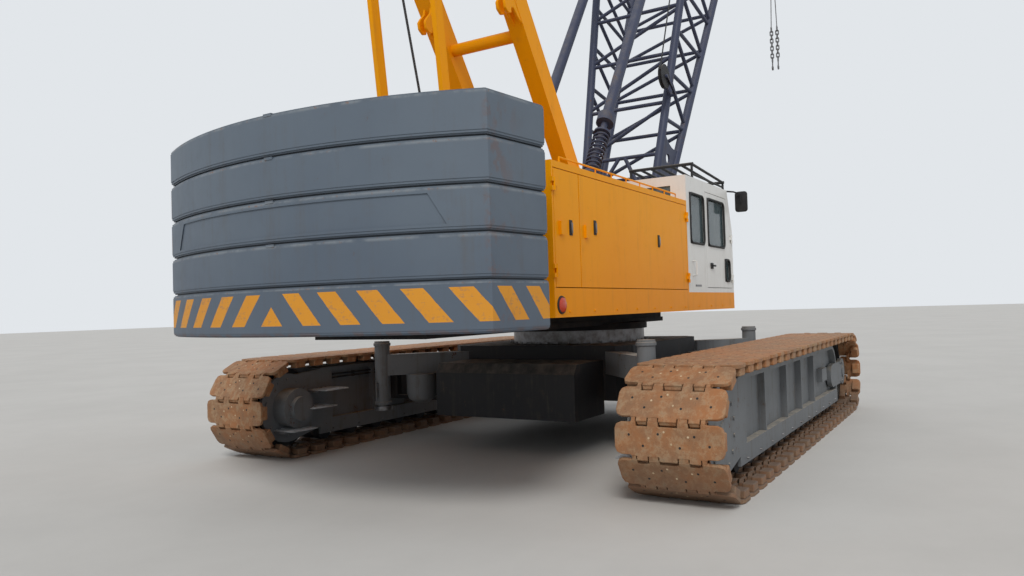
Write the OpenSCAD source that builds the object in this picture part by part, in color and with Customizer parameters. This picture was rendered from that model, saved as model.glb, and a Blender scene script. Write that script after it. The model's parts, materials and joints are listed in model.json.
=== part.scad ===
/* [Tracks] */
// Distance between the centre lines of the two tracks
track_gauge = 5160; // [4800:10:5600]
// Width of a track shoe
shoe_w = 914; // [760:2:1000]
// Distance between the centres of the end wheels of a track
wheel_base = 6170; // [5800:10:6500]
// Radius of the line through the pins of the shoes at a track's end
pin_r = 515; // [480:5:560]
// Thickness of a shoe outside the pins
shoe_t = 60; // [40:2:75]
// Depth of the track chain inside the pins
chain_t = 45; // [30:1:60]
// Number of shoes in one track
shoe_count = 54; // [48:1:60]
// Part of the pitch that a shoe's plate takes
shoe_fill = 0.84; // [0.7:0.01:0.92]

/* [Track frames] */
// Width of a track frame
frame_w = 560; // [460:10:640]
// Height of a track frame's top above the ground
frame_top = 1000; // [930:5:1020]
// Thickness of a track frame's flanges
frame_flange_t = 45; // [25:1:70]
// Radius of a lower roller
roller_r = 105; // [80:1:115]
// Number of lower rollers on a track
roller_count = 11; // [7:1:13]
// Radius of a carrier roller
carrier_r = 70; // [50:1:85]

/* [Carbody] */
// Length of the carbody's centre box
carbody_l = 2500; // [2100:10:2700]
// Width of the carbody's centre box
carbody_w = 2500; // [2200:10:2800]
// Height of the carbody's top above the ground
carbody_top = 1200; // [1150:10:1260]
// Depth of the carbody's centre box
carbody_h = 640; // [500:10:700]
// Distance of an axle beam's centre line from the slewing axis
axle_x = 1000; // [850:10:1080]
// Width of an axle beam
axle_w = 460; // [360:10:520]
// Height of an axle beam
axle_h = 520; // [420:10:560]
// Width of a carbody weight
cb_weight_w = 1860; // [1500:10:2000]
// Thickness of a carbody weight
cb_weight_t = 750; // [500:10:780]
// Height of a carbody weight
cb_weight_h = 620; // [500:10:640]
// Radius of the swing bearing
bearing_r = 880; // [760:10:1000]
// Height of the swing bearing
bearing_h = 160; // [120:5:200]

/* [Jacks] */
// Distance of a jack from the slewing axis along the tracks
jack_x = 2000; // [1900:10:2150]
// Distance of a jack from the centre plane
jack_y = 1770; // [1700:10:1850]
// Diameter of a jack's cylinder
jack_d = 190; // [150:2:230]
// Height of a jack's lowest point above the ground
jack_foot_z = 440; // [400:10:500]
// Height of a jack's cylinder
jack_h = 860; // [840:10:900]
// Diameter of a jack's rod
jack_rod_d = 120; // [80:2:140]
// Travel of a jack's rod
jack_stroke = 600; // [400:10:620]

/* [House] */
// Distance of a house's side from the centre plane
house_y = 1600; // [1500:10:1700]
// Distance of a house's inner wall from the centre plane
house_in_y = 700; // [640:10:800]
// Rear end of the houses, behind the slewing axis
house_back = 3630; // [3500:10:3800]
// Front end of the right house, behind the slewing axis
house_front = 80; // [60:10:200]
// Front end of the left house, ahead of the slewing axis
left_front = 900; // [700:10:1100]
// Joint between the rear door and the long side door, behind the slewing axis
door_joint = 3100; // [3000:10:3250]
// Height of the sill's underside above the ground
sill_z = 1570; // [1550:5:1600]
// Height of the sill's top above the ground
sill_top = 1800; // [1760:10:1850]
// Height of the houses' roof above the ground
house_top = 2950; // [2850:10:3050]
// Thickness of a house wall and door
wall_t = 40; // [25:1:60]

/* [Cab] */
// Length of the cab at its floor
cab_l = 2000; // [1850:10:2150]
// How far the cab's front leans back at its roof
cab_lean = 200; // [100:10:300]
// Width of the cab
cab_w = 950; // [900:10:960]
// Height of the cab's roof above the ground
cab_top = 3280; // [3200:10:3350]
// Thickness of the cab's walls
cab_t = 45; // [35:1:60]

/* [Counterweight] */
// Distance of the counterweight's rear face from the slewing axis
tail_r = 5350; // [5200:10:5500]
// Distance of the counterweight's front face from the slewing axis
cw_front = 4240; // [4150:10:4300]
// Half width of the counterweight's front face
cw_half = 1880; // [1700:10:2000]
// Height of the counterweight's underside above the ground
cw_z = 1490; // [1450:5:1550]
// Height of the striped base slab
cw_base_h = 390; // [350:5:430]
// Height of one upper slab
cw_slab_h = 345; // [320:5:370]

/* [Gantry] */
// Distance of the gantry head behind the slewing axis
gantry_x = 3900; // [3700:10:4000]
// Height of the gantry head above the ground
gantry_z = 7200; // [6800:10:7500]
// Distance of a gantry leg's and a backstop's centre line from the centre plane
gantry_y = 520; // [500:5:540]
// Depth of a gantry leg
leg_d = 250; // [200:5:300]
// Width of a gantry leg
leg_w = 190; // [150:5:220]

/* [Boom] */
// Length of the boom from its foot pin to its head pin
boom_len = 27400; // [24000:100:30000]
// Angle of the boom above the ground at rest
boom_angle = 66.2; // [60:0.1:70]
// Distance of the boom's foot pin ahead of the slewing axis
foot_x = 1120; // [1050:10:1200]
// Height of the boom's foot pin above the ground
foot_z = 1900; // [1850:10:2000]
// Width and depth of the boom's middle sections
boom_sec = 1800; // [1600:10:2000]
// Length of the tapered foot section
butt_len = 7600; // [7000:100:8000]
// Length of the tapered head section
tip_len = 7600; // [7000:100:8000]
// Diameter of a boom chord
chord_d = 127; // [100:1:150]
// Diameter of a lacing tube
lace_d = 60; // [48:1:76]
// Radius of the boom head's sheaves
head_sheave_r = 400; // [340:5:440]

/* [Hoisting gear] */
// Height of the hook block's upper pin above the ground
block_z = 12600; // [11500:100:14000]
// Radius of the hook block's sheaves
block_sheave_r = 300; // [250:5:340]
// Height of the sling's lower ends above the ground
sling_z = 8000; // [7800:100:9000]
// Diameter of the hoist rope
rope_d = 26; // [20:1:32]
// Diameter of a main stay
stay_d = 38; // [32:1:38]

/* [Backstops] */
// Distance of the backstops' and gantry legs' foot pins behind the slewing axis
stop_foot_x = 880; // [800:10:1000]
// Height of the backstops' and gantry legs' foot pins above the ground
stop_foot_z = 2880; // [2700:10:3000]
// Distance of a backstop's upper pin from the boom's foot pin
stop_reach = 6560; // [6400:10:6700]
// Diameter of a backstop's tube
stop_d = 150; // [130:2:170]

/* [Hidden] */
// Gap between a piece and its seat
seat = 0.3;
// Gap between a turning piece and its neighbour
clear = 8;
e = 1;
sides = [-1, 1];

// Heights of the track
axle_z = pin_r + shoe_t;
chain_r = pin_r - chain_t;
track_y = track_gauge / 2;

// Boom head and hook line, from the slewing axis
head_x = foot_x + boom_len * cos(boom_angle);
head_z = foot_z + boom_len * sin(boom_angle);
front_x = head_x + head_sheave_r;
groove = rope_d + 10;
hook_x = head_x + head_sheave_r - groove + rope_d / 2 + seat;

// The slewing axis in the part's frame, whose origin is under the middle of its length
slew_x = (tail_r - front_x) / 2;

// Heights of the upper works
deck_z = carbody_top + bearing_h;
cw_top = cw_z + cw_base_h + 4 * cw_slab_h;

// Colours
YELLOW = [0.85, 0.58, 0.12];
GREY = [0.42, 0.44, 0.47];
SLATE = [0.34, 0.39, 0.45];
NAVY = [0.24, 0.26, 0.38];
DARK = [0.14, 0.14, 0.16];
RUST = [0.56, 0.42, 0.33];
WHITE = [0.88, 0.88, 0.86];
GLASS = [0.3, 0.38, 0.4, 0.4];
STEEL = [0.6, 0.6, 0.62];

// Everything is placed from the slewing axis, so one shift puts it in the part's frame
module placed() {
    translate([slew_x, 0, 0])
        children();
}

// A box given by its lowest and highest corners
module slab(p, q) {
    translate(p)
        cube([q[0] - p[0], q[1] - p[1], q[2] - p[2]]);
}

// A straight bar of circular section from p to q, turned about itself
module bar(p, q, d, fn = 24, turn = 0) {
    v = q - p;
    len = norm(v);
    translate(p)
        rotate([0, acos(v[2] / len), atan2(v[1], v[0])])
            rotate([0, 0, turn])
                cylinder(d = d, h = len, $fn = fn);
}

// A straight bar of rectangular section in a plane parallel to XZ
module flat_bar(p, q, depth, width) {
    v = q - p;
    len = norm([v[0], v[2]]);
    translate(p)
        rotate([0, atan2(v[0], v[2]), 0])
            translate([-depth / 2, -width / 2, 0])
                cube([depth, width, len]);
}

// A cylinder along Y, centred on p
module roll(p, r, w, fn = 48) {
    translate([p[0], p[1] + w / 2, p[2]])
        rotate([90, 0, 0])
            cylinder(r = r, h = w, $fn = fn);
}

// A profile drawn in X and Z, given a width along Y and centred on y
module side_profile(y, w) {
    translate([0, y + w / 2, 0])
        rotate([90, 0, 0])
            linear_extrude(height = w)
                children();
}

// A flat link drawn in X and Z from p to q, d deep, with round ends
module link_profile(p, q, d, rp, rq) {
    n = [p[1] - q[1], q[0] - p[0]] * d / 2 / norm(q - p);
    polygon([p + n, p - n, q - n, q + n]);
    translate(p)
        circle(r = rp, $fn = 48);
    translate(q)
        circle(r = rq, $fn = 48);
}

// Tracks

half_base = wheel_base / 2;
arc_len = PI * pin_r;
loop_len = 2 * wheel_base + 2 * arc_len;

// Place of a point at distance s along the line of the pins
function loop_point(s) =
    s < wheel_base ? [-half_base + s, -pin_r]
    : s < wheel_base + arc_len ? arc_point(half_base, -90, s - wheel_base)
    : s < 2 * wheel_base + arc_len ? [half_base - (s - wheel_base - arc_len), pin_r]
    : arc_point(-half_base, 90, s - 2 * wheel_base - arc_len);
function arc_point(cx, start, s) =
    let (a = start + 180 * s / arc_len)
    [cx + pin_r * cos(a), pin_r * sin(a)];
// One shoe stands upright at the middle of the rear end
pitch = loop_len / shoe_count;
rear_mid = 2 * wheel_base + 1.5 * arc_len;
shoe_phase = rear_mid - (floor(rear_mid / pitch) + 0.5) * pitch;
function pin(i) = loop_point((pitch * (i % shoe_count) + shoe_phase + loop_len) % loop_len);

// Corners of one shoe between two pins, going round with the loop
function shoe_points(i) =
    let (
        a = pin(i),
        b = pin(i + 1),
        d = (b - a) / norm(b - a),
        n = [d[1], -d[0]],
        l = norm(b - a),
        g = l * (1 - shoe_fill) / 2,
        c = shoe_t * 0.35
    )
    [
        a + d * g,
        a + d * g + n * (shoe_t - c),
        a + d * (g + c) + n * shoe_t,
        a + d * (l - g - c) + n * shoe_t,
        a + d * (l - g) + n * (shoe_t - c),
        a + d * (l - g)
    ];

module stadium(r) {
    square([wheel_base, 2 * r], center = true);
    for (s = sides)
        translate([s * half_base, 0])
            circle(r = r, $fn = 64);
}

module track(y) {
    color(RUST)
        placed()
            translate([0, 0, axle_z])
                side_profile(y, shoe_w)
                    difference() {
                        polygon([for (i = [0:shoe_count - 1]) each shoe_points(i)]);
                        stadium(chain_r);
                    }
}

module track_left() {
    track(track_y);
}
module track_right() {
    track(-track_y);
}

// Rollers stand on the lower run and carry the upper run
roller_z = axle_z - chain_r + roller_r + seat;
carrier_z = axle_z + chain_r - carrier_r - seat;
roller_span = wheel_base - 2 * pin_r - 300;
roller_w = frame_w - 160;
carrier_w = roller_w / 2;
carrier_step = 1500;
end_wheel_r = chain_r - seat;

module rollers() {
    color(DARK)
        placed()
            for (y = [-track_y, track_y]) {
            for (i = [0:roller_count - 1])
                roll([-roller_span / 2 + i * roller_span / (roller_count - 1), y, roller_z],
                    roller_r, roller_w, 32);
            for (x = [-1, 0, 1])
                roll([x * carrier_step, y, carrier_z], carrier_r, carrier_w, 32);
        }
}

wheel_w = roller_w - 40;
module end_wheels(x) {
    placed()
        for (s = sides)
            difference() {
                roll([x, s * track_y, axle_z], end_wheel_r, wheel_w, 64);
                roll([x, s * track_y, axle_z], 90, wheel_w + 2 * e, 32);
                for (t = sides)
                    translate([x, s * track_y + t * wheel_w / 2, axle_z])
                        rotate([90, 0, 0])
                            difference() {
                                cylinder(r = end_wheel_r - 70, h = 120, center = true, $fn = 64);
                                cylinder(r = 170, h = 130, center = true, $fn = 48);
                            }
            }
}
module drive_wheels() {
    color(DARK)
        end_wheels(-half_base);
}
module idlers() {
    color(DARK)
        end_wheels(half_base);
}

// Track frames: a rimmed web with stiffeners, a drive plate behind and a yoke ahead
frame_half = half_base - end_wheel_r - 60;
frame_z0 = roller_z + roller_r + clear;
web_in = 80;
drive_plate_t = 50;
drive_plate_r = 400;
yoke_t = 60;
yoke_r = 190;
nose_r = 330;
stiffener_t = 32;
stiffener_xs = [-1560, -590, 180, 960];
guard_t = 30;
motor_r = 230;
motor_l = 190;
adjuster = [1500, 560, 330, 170];
// Steps beside the drive plate: place along the frame, height
steps = [[-3120, 305], [-2790, 530], [-2590, 720]];
step_half = 190;
step_w = 180;
step_t = 25;
module frame_outline(g) {
    r = nose_r - g;
    x0 = -frame_half + g;
    x1 = frame_half - g;
    z0 = frame_z0 + g;
    z1 = frame_top - g;
    translate([x0, z0])
        square([x1 - r - x0, z1 - z0]);
    translate([x0, z0])
        square([x1 - x0, z1 - r - z0]);
    translate([x1 - r, z1 - r])
        circle(r = r, $fn = 64);
}
module track_frame(s) {
    y = s * track_y;
    color(GREY)
        placed()
            difference() {
                track_frame_body(y, s);
                for (x = [-1, 0, 1])
                    slab([x * carrier_step - carrier_r - 20, y - carrier_w / 2 - clear,
                        carrier_z - carrier_r - clear],
                        [x * carrier_step + carrier_r + 20, y + carrier_w / 2 + clear, frame_top + e]);
            }
}
module track_frame_body(y, s) {
    side_profile(y, frame_w - 2 * web_in)
        frame_outline(0);
    side_profile(y, frame_w)
        difference() {
            frame_outline(0);
            frame_outline(frame_flange_t);
        }
    for (x = stiffener_xs)
        slab([x - stiffener_t / 2, y - frame_w / 2 + 12, frame_z0 + e],
            [x + stiffener_t / 2, y + frame_w / 2 - 12, frame_top - e]);
    for (t = sides) {
        side_profile(y + t * (frame_w - drive_plate_t) / 2, drive_plate_t)
            union() {
                polygon([
                    [-frame_half + 200, frame_z0 + e],
                    [-frame_half + 200, frame_top - e],
                    [-half_base + 100, axle_z + drive_plate_r - 20],
                    [-half_base + 100, axle_z - drive_plate_r + 20]
                ]);
                translate([-half_base, axle_z])
                    circle(r = drive_plate_r, $fn = 64);
            }
        side_profile(y + t * (frame_w - yoke_t) / 2, yoke_t)
            link_profile([frame_half - 300, axle_z], [half_base, axle_z], 2 * yoke_r - 60, yoke_r - 40,
                yoke_r);
        slab([-roller_span / 2 - 150, y + t * (frame_w - guard_t) / 2 - guard_t / 2, roller_z - 20],
            [roller_span / 2 + 150, y + t * (frame_w - guard_t) / 2 + guard_t / 2, frame_z0 + 20]);
    }
    for (x = sides)
        roll([x * half_base, y, axle_z], 90 - seat, frame_w + 30, 32);
    slab([adjuster[0], y + s * (frame_w / 2 - web_in - 5), adjuster[1]],
        [adjuster[0] + adjuster[2], y + s * (frame_w / 2 - 8), adjuster[1] + adjuster[3]]);
    for (x = sides)
        slab([x * axle_x - axle_w / 2 - 30, y - s * (frame_w - web_in) / 2 - web_in / 2, axle_z0 - 30],
            [x * axle_x + axle_w / 2 + 30, y - s * (frame_w - web_in) / 2 + web_in / 2, frame_top - e]);
    roll([-half_base, y - s * (frame_w / 2 + motor_l / 2 - 5), axle_z], motor_r, motor_l + 10, 48);
    roll([-half_base, y - s * (frame_w / 2 + motor_l), axle_z], motor_r - 90, 120, 48);
    for (p = steps)
        slab([p[0] - step_half, y - s * (frame_w + step_w) / 2 - step_w / 2 - e, p[1]],
            [p[0] + step_half, y - s * (frame_w + step_w) / 2 + step_w / 2 + e, p[1] + step_t]);
}
module track_frame_left() {
    track_frame(1);
}
module track_frame_right() {
    track_frame(-1);
}

// Carbody
carbody_z = carbody_top - carbody_h;
axle_z0 = frame_top - axle_h;
module carbody() {
    color(DARK)
        placed() {
            difference() {
                union() {
                    linear_extrude_at(carbody_z, carbody_h)
                        carbody_outline();
                    cylinder_ring(bearing_r + 60, carbody_top - 120, 120);
                }
                translate([0, 0, carbody_z - e])
                    cylinder(r = bearing_r - 420, h = carbody_h + 2 * e, $fn = 64);
            }
        }
}
module linear_extrude_at(z, h) {
    translate([0, 0, z])
        linear_extrude(height = h)
            children();
}
// The box's corners are cut between the axle beams and the weights
carbody_cut = 160;
module carbody_outline() {
    c = carbody_cut;
    x = carbody_l / 2;
    y = carbody_w / 2;
    polygon([
        [-x, -y + c], [-x + c, -y], [x - c, -y], [x, -y + c],
        [x, y - c], [x - c, y], [-x + c, y], [-x, y - c]
    ]);
}
module cylinder_ring(r, z, h) {
    translate([0, 0, z])
        cylinder(r = r, h = h, $fn = 96);
}
axle_flange = 50;
axle_web_in = 90;
module axle_beams() {
    color(DARK)
        placed()
            for (x = sides)
                for (s = sides)
                    difference() {
                        slab([x * axle_x - axle_w / 2, s > 0 ? carbody_w / 2 : -track_y + frame_w / 2,
                            axle_z0],
                            [x * axle_x + axle_w / 2, s > 0 ? track_y - frame_w / 2 : -carbody_w / 2,
                                axle_z0 + axle_h]);
                        for (t = sides)
                            slab([x * axle_x + t * axle_w / 2 - axle_web_in,
                                s > 0 ? carbody_w / 2 + 120 : -track_y + frame_w / 2 + 120,
                                axle_z0 + axle_flange],
                                [x * axle_x + t * axle_w / 2 + axle_web_in,
                                    s > 0 ? track_y - frame_w / 2 - 120 : -carbody_w / 2 - 120,
                                axle_z0 + axle_h - axle_flange]);
                    }
}
cb_weight_z = 410;
module carbody_weights() {
    color(DARK)
        placed()
            for (x = sides)
                side_profile(0, cb_weight_w)
                    polygon([
                        [x * carbody_l / 2, cb_weight_z],
                        [x * carbody_l / 2, cb_weight_z + cb_weight_h],
                        [x * (carbody_l / 2 + cb_weight_t - 70), cb_weight_z + cb_weight_h],
                        [x * (carbody_l / 2 + cb_weight_t), cb_weight_z + cb_weight_h - 110],
                        [x * (carbody_l / 2 + cb_weight_t), cb_weight_z]
                    ]);
}
module swing_bearing() {
    color(STEEL)
        placed()
            difference() {
                cylinder_ring(bearing_r, carbody_top, bearing_h - seat);
                cylinder_ring(bearing_r - 160, carbody_top - e, bearing_h + 2 * e);
            }
}

// Jacks on short outriggers beside the carbody
jack_top = jack_foot_z + jack_h;
jack_rod_top = jack_foot_z + 140 + jack_stroke;
handle_d = 22;
handle_out = 125;
module jack_outriggers() {
    color(DARK)
        placed()
            for (x = sides)
                for (s = sides)
                    difference() {
                        union() {
                            bar([x * jack_x, s * jack_y, jack_foot_z + 60],
                                [x * jack_x, s * jack_y, jack_top], jack_d, 32);
                            for (z = [jack_foot_z + 170, jack_foot_z + 340])
                                bar([x * jack_x, s * jack_y, z],
                                    [x * (jack_x + handle_out), s * jack_y, z], handle_d, 12);
                            bar([x * (jack_x + handle_out), s * jack_y, jack_foot_z + 160],
                                [x * (jack_x + handle_out), s * jack_y, jack_foot_z + 350],
                                    handle_d + 4, 12);
                            translate([0, 0, carbody_top - 330])
                                linear_extrude(height = 260)
                                    polygon([
                                        [x * carbody_l / 2, s * (cb_weight_w / 2 + 30)],
                                        [x * carbody_l / 2, s * (carbody_w / 2 - 10)],
                                        [x * (jack_x - 60), s * (jack_y + 50)],
                                        [x * (jack_x + 50), s * (jack_y - 60)]
                                    ]);
                        }
                        bar([x * jack_x, s * jack_y, jack_foot_z],
                            [x * jack_x, s * jack_y, jack_rod_top + 20], jack_rod_d + 2 * seat, 32);
                    }
}
module jack_rod(x, s) {
    color(STEEL)
        placed() {
            bar([x * jack_x, s * jack_y, jack_foot_z + 30],
                [x * jack_x, s * jack_y, jack_rod_top], jack_rod_d, 32);
            bar([x * jack_x, s * jack_y, jack_foot_z],
                [x * jack_x, s * jack_y, jack_foot_z + 50], jack_d + 40, 32);
        }
}
module jack_rod_front_left() {
    jack_rod(1, 1);
}
module jack_rod_front_right() {
    jack_rod(1, -1);
}
module jack_rod_rear_left() {
    jack_rod(-1, 1);
}
module jack_rod_rear_right() {
    jack_rod(-1, -1);
}

// Revolving frame: a deck plate, two side girders, a sill round the houses and the boom foot brackets
girder_t = 60;
girder_top = 2250;
bracket_t = 60;
bracket_r = 125;
bracket_foot = 330;
foot_half = 500;
foot_w = 120;
girder_y = foot_half + foot_w / 2 + clear + girder_t / 2;
cross_z = girder_top - 200;
leg_lug_t = 40;
module revolving_frame() {
    color(YELLOW)
        placed() {
            cylinder_ring(bearing_r + 40, deck_z, 80);
            slab([-cw_front, -girder_y - girder_t, deck_z + 60],
                [foot_x + 350, girder_y + girder_t, deck_z + 120]);
            for (s = sides) {
                side_profile(s * girder_y, girder_t)
                    polygon([
                        [-cw_front, deck_z + 100],
                        [-cw_front, cw_z + cw_base_h],
                        [-stop_foot_x - 900, girder_top],
                        [foot_x - 100, girder_top - 100],
                        [foot_x + 350, sill_top],
                        [foot_x + 350, deck_z + 100]
                    ]);
                slab([-house_back, s > 0 ? house_in_y : -house_y, sill_z],
                    [s > 0 ? left_front : -house_front + cab_l, s > 0 ? house_y : -house_in_y, sill_top]);
                for (x = [-3200, -1900, -600, 700])
                    slab([x - 40, s > 0 ? girder_y : -house_in_y - e, sill_z + 30],
                        [x + 40, s > 0 ? house_in_y + e : -girder_y, sill_top - 30]);
                for (t = sides)
                    side_profile(s * foot_half + t * (foot_w / 2 + clear + bracket_t / 2), bracket_t)
                        union() {
                            polygon([
                                [foot_x - bracket_foot, deck_z + 100],
                                [foot_x - bracket_r + 5, foot_z],
                                [foot_x + bracket_r - 5, foot_z],
                                [foot_x + bracket_foot, deck_z + 100]
                            ]);
                            translate([foot_x, foot_z])
                                circle(r = bracket_r, $fn = 48);
                        }
                roll([foot_x, s * foot_half, foot_z], 50, foot_w + 2 * (clear + bracket_t) - 4, 32);
                for (t = sides)
                    side_profile(s * gantry_y + t * (leg_w / 2 + clear + leg_lug_t / 2), leg_lug_t)
                        polygon([
                            [-stop_foot_x - 260, cross_z],
                            [-stop_foot_x - 110, stop_foot_z + 110],
                            [-stop_foot_x + 110, stop_foot_z + 110],
                            [-stop_foot_x + 260, cross_z]
                        ]);
                roll([-stop_foot_x, s * gantry_y, stop_foot_z], 45, leg_w + 2 * (clear + leg_lug_t) - 4, 32);
                for (t = sides)
                    side_profile(s * link_y + t * (link_t / 2 + clear + 15), 30)
                        polygon([
                            [-link_foot_x - 200, cross_z - 200],
                            [-link_foot_x - 80, link_foot_z + 80],
                            [-link_foot_x + 80, link_foot_z + 80],
                            [-link_foot_x + 200, cross_z - 200]
                        ]);
                roll([-link_foot_x, s * link_y, link_foot_z], 35, link_t + 2 * (clear + 30) - 4, 32);
            }
            slab([-stop_foot_x - 150, -girder_y, cross_z], [-stop_foot_x + 150, girder_y, girder_top]);
            slab([-link_foot_x - 150, -girder_y, cross_z - 200],
                [-link_foot_x + 150, girder_y, cross_z - 50]);
        }
}

// Hinges on a vertical pin just outside a side wall
hinge_off = 15;
hinge_r = 12;
hinge_pin_r = 6;
hinge_half = 60;
knuckle_half = 20;
// The fixed half at x, on side s, with its leaf pointing to t
module hinge_fixed(x, s, z, t) {
    y = s * (house_y + hinge_off);
    translate([x, y, z - hinge_half])
        cylinder(r = hinge_pin_r, h = 2 * hinge_half, $fn = 24);
    for (q = [-hinge_half, knuckle_half]) {
        translate([x, y, z + q])
            cylinder(r = hinge_r, h = hinge_half - knuckle_half, $fn = 24);
        slab([t > 0 ? x : x - 45, s > 0 ? house_y : -house_y - hinge_off - 4, z + q],
            [t > 0 ? x + 45 : x, s > 0 ? house_y + hinge_off + 4 : -house_y,
                z + q + hinge_half - knuckle_half]);
    }
}
// The moving half, whose leaf lies on the door on the other side of the pin
module hinge_moving(x, s, z, t) {
    y = s * (house_y + hinge_off);
    difference() {
        union() {
            translate([x, y, z - knuckle_half + seat])
                cylinder(r = hinge_r, h = 2 * (knuckle_half - seat), $fn = 24);
            slab([t > 0 ? x - 45 : x, s > 0 ? house_y : -house_y - hinge_off - 4, z - knuckle_half + seat],
                [t > 0 ? x : x + 45, s > 0 ? house_y + hinge_off + 4 : -house_y, z + knuckle_half - seat]);
        }
        translate([x, y, z - hinge_half])
            cylinder(r = hinge_pin_r + seat, h = 2 * hinge_half, $fn = 24);
    }
}

// Houses: hollow shells, open where their doors close them
module house_shell(x0, x1, s) {
    y0 = s > 0 ? house_in_y : -house_y;
    y1 = s > 0 ? house_y : -house_in_y;
    difference() {
        slab([x0, y0, sill_top], [x1, y1, house_top]);
        slab([x0 + wall_t, y0 + wall_t, sill_top - e], [x1 - wall_t, y1 - wall_t, house_top - wall_t]);
        children();
    }
}
door_z0 = sill_top + 30;
door_z1 = house_top - 60;
module house_right() {
    color(YELLOW)
        placed()
            union() {
                house_shell(-house_back, -house_front, -1)
                    slab([-house_back + 30, -house_y - e, door_z0],
                        [-house_front - 30, -house_y + wall_t + e, door_z1]);
                for (z = hinge_zs) {
                    hinge_fixed(-house_back + 30, -1, z, -1);
                    hinge_fixed(-house_front - 30, -1, z, 1);
                }
            }
}
module house_left() {
    color(YELLOW)
        placed()
            union() {
                house_shell(-house_back, left_front, 1)
                    slab([-house_back + 30, house_y - wall_t - e, door_z0],
                        [-house_front - 30, house_y + e, door_z1]);
                for (z = hinge_zs)
                    hinge_fixed(-house_front - 30, 1, z, 1);
            }
}
hinge_zs = [door_z0 + 150, door_z1 - 150];
module house_door(x0, x1, s, t) {
    y = s * (house_y - wall_t / 2);
    color(YELLOW)
        placed() {
            for (z = hinge_zs)
                hinge_moving(t > 0 ? x1 : x0, s, z, t);
            slab([x0 + clear, y - wall_t / 2, door_z0 + clear],
                [x1 - clear, y + wall_t / 2, door_z1 - clear]);
            slab([x0 + 90, y + s * (wall_t / 2 + 12) - 12, 2300],
                [x0 + 150, y + s * (wall_t / 2 + 12) + 12, 2420]);
        }
}
module door_rear_right() {
    house_door(-house_back + 30, -door_joint, -1, -1);
}
module door_side_right() {
    house_door(-door_joint, -house_front - 30, -1, 1);
}
module door_side_left() {
    house_door(-house_back + 30, -house_front - 30, 1, 1);
}

// The engine lies along the left house: block, heads, sump, radiator with its fan ring, and an air filter
engine_x0 = -3000;
engine_l = 1750;
engine_y = (house_in_y + house_y) / 2 - 15;
engine_w = 520;
engine_top = 2620;
head_count = 6;
radiator_t = 160;
module engine() {
    color(DARK)
        placed() {
            slab([engine_x0, engine_y - engine_w / 2, sill_top + 180],
                [engine_x0 + engine_l, engine_y + engine_w / 2, engine_top - 220]);
            slab([engine_x0 + 120, engine_y - engine_w / 4, sill_top + seat],
                [engine_x0 + engine_l - 120, engine_y + engine_w / 4, sill_top + 190]);
            for (i = [0:head_count - 1])
                slab([engine_x0 + 100 + i * 260, engine_y - 130, engine_top - 230],
                    [engine_x0 + 320 + i * 260, engine_y + 130, engine_top]);
            bar([engine_x0 + 60, engine_y + engine_w / 2 - 20, engine_top - 330],
                [engine_x0 + engine_l - 60, engine_y + engine_w / 2 - 20, engine_top - 330], 110, 24);
            slab([engine_x0 + engine_l + 90, house_in_y + 90, sill_top + seat],
                [engine_x0 + engine_l + 90 + radiator_t, house_y - 110, engine_top + 80]);
            translate([engine_x0 + engine_l - 10, engine_y, (sill_top + engine_top) / 2])
                rotate([0, 90, 0])
                    cylinder(r = 270, h = 120, $fn = 48);
        }
}

// Winch drums across the frame, each with its flanges, standing in the girders: place, height, radius
drums = [[-2550, 2000, 230], [-1650, 2000, 230], [200, 2000, 270]];
drum_flange = 120;
module winches() {
    color(GREY)
        placed()
            for (w = drums)
                union() {
                    roll([w[0], 0, w[1]], w[2], 2 * girder_y - 2 * seat - girder_t, 48);
                    for (s = sides)
                        roll([w[0], s * (girder_y - girder_t / 2 - seat - 20), w[1]],
                            w[2] + drum_flange, 40, 48);
                }
}

// Cab
cab_x0 = -house_front;
cab_x1 = cab_x0 + cab_l;
cab_y0 = -house_y;
cab_y1 = -house_y + cab_w;
cab_z0 = sill_top + seat;
door_x0 = cab_x0 + 760;
door_x1 = cab_x1 - 90;
// The front is upright up to the kink and leans back above it
cab_kink = cab_z0 + 900;
function cab_front(z) = cab_x1 - cab_lean * (z - cab_kink) / (cab_top - cab_kink);
module cab_outline(g) {
    polygon([
        [cab_x0 + g, cab_z0 + g],
        [cab_x0 + g, cab_top - g],
        [cab_x1 - cab_lean - g, cab_top - g],
        [cab_x1 - g, cab_kink],
        [cab_x1 - g, cab_z0 + g]
    ]);
}
module cab_door_outline(g) {
    polygon([
        [door_x0 + g, cab_z0 + 60 + g],
        [door_x0 + g, cab_top - 130 - g],
        [door_x1 - cab_lean - g, cab_top - 130 - g],
        [door_x1 - g, cab_kink],
        [door_x1 - g, cab_z0 + 60 + g]
    ]);
}
cab_hinge_zs = [cab_z0 + 200, cab_z0 + 780];
module cab() {
    color(WHITE)
        placed() {
            for (z = cab_hinge_zs)
                hinge_fixed(door_x1, -1, z, 1);
            difference() {
                side_profile((cab_y0 + cab_y1) / 2, cab_w)
                    cab_outline(0);
                side_profile((cab_y0 + cab_y1) / 2, cab_w - 2 * cab_t)
                    cab_outline(cab_t);
                side_profile(cab_y0, 3 * cab_t)
                    cab_door_outline(0);
                cab_windows(0);
            }
        }
}
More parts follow.
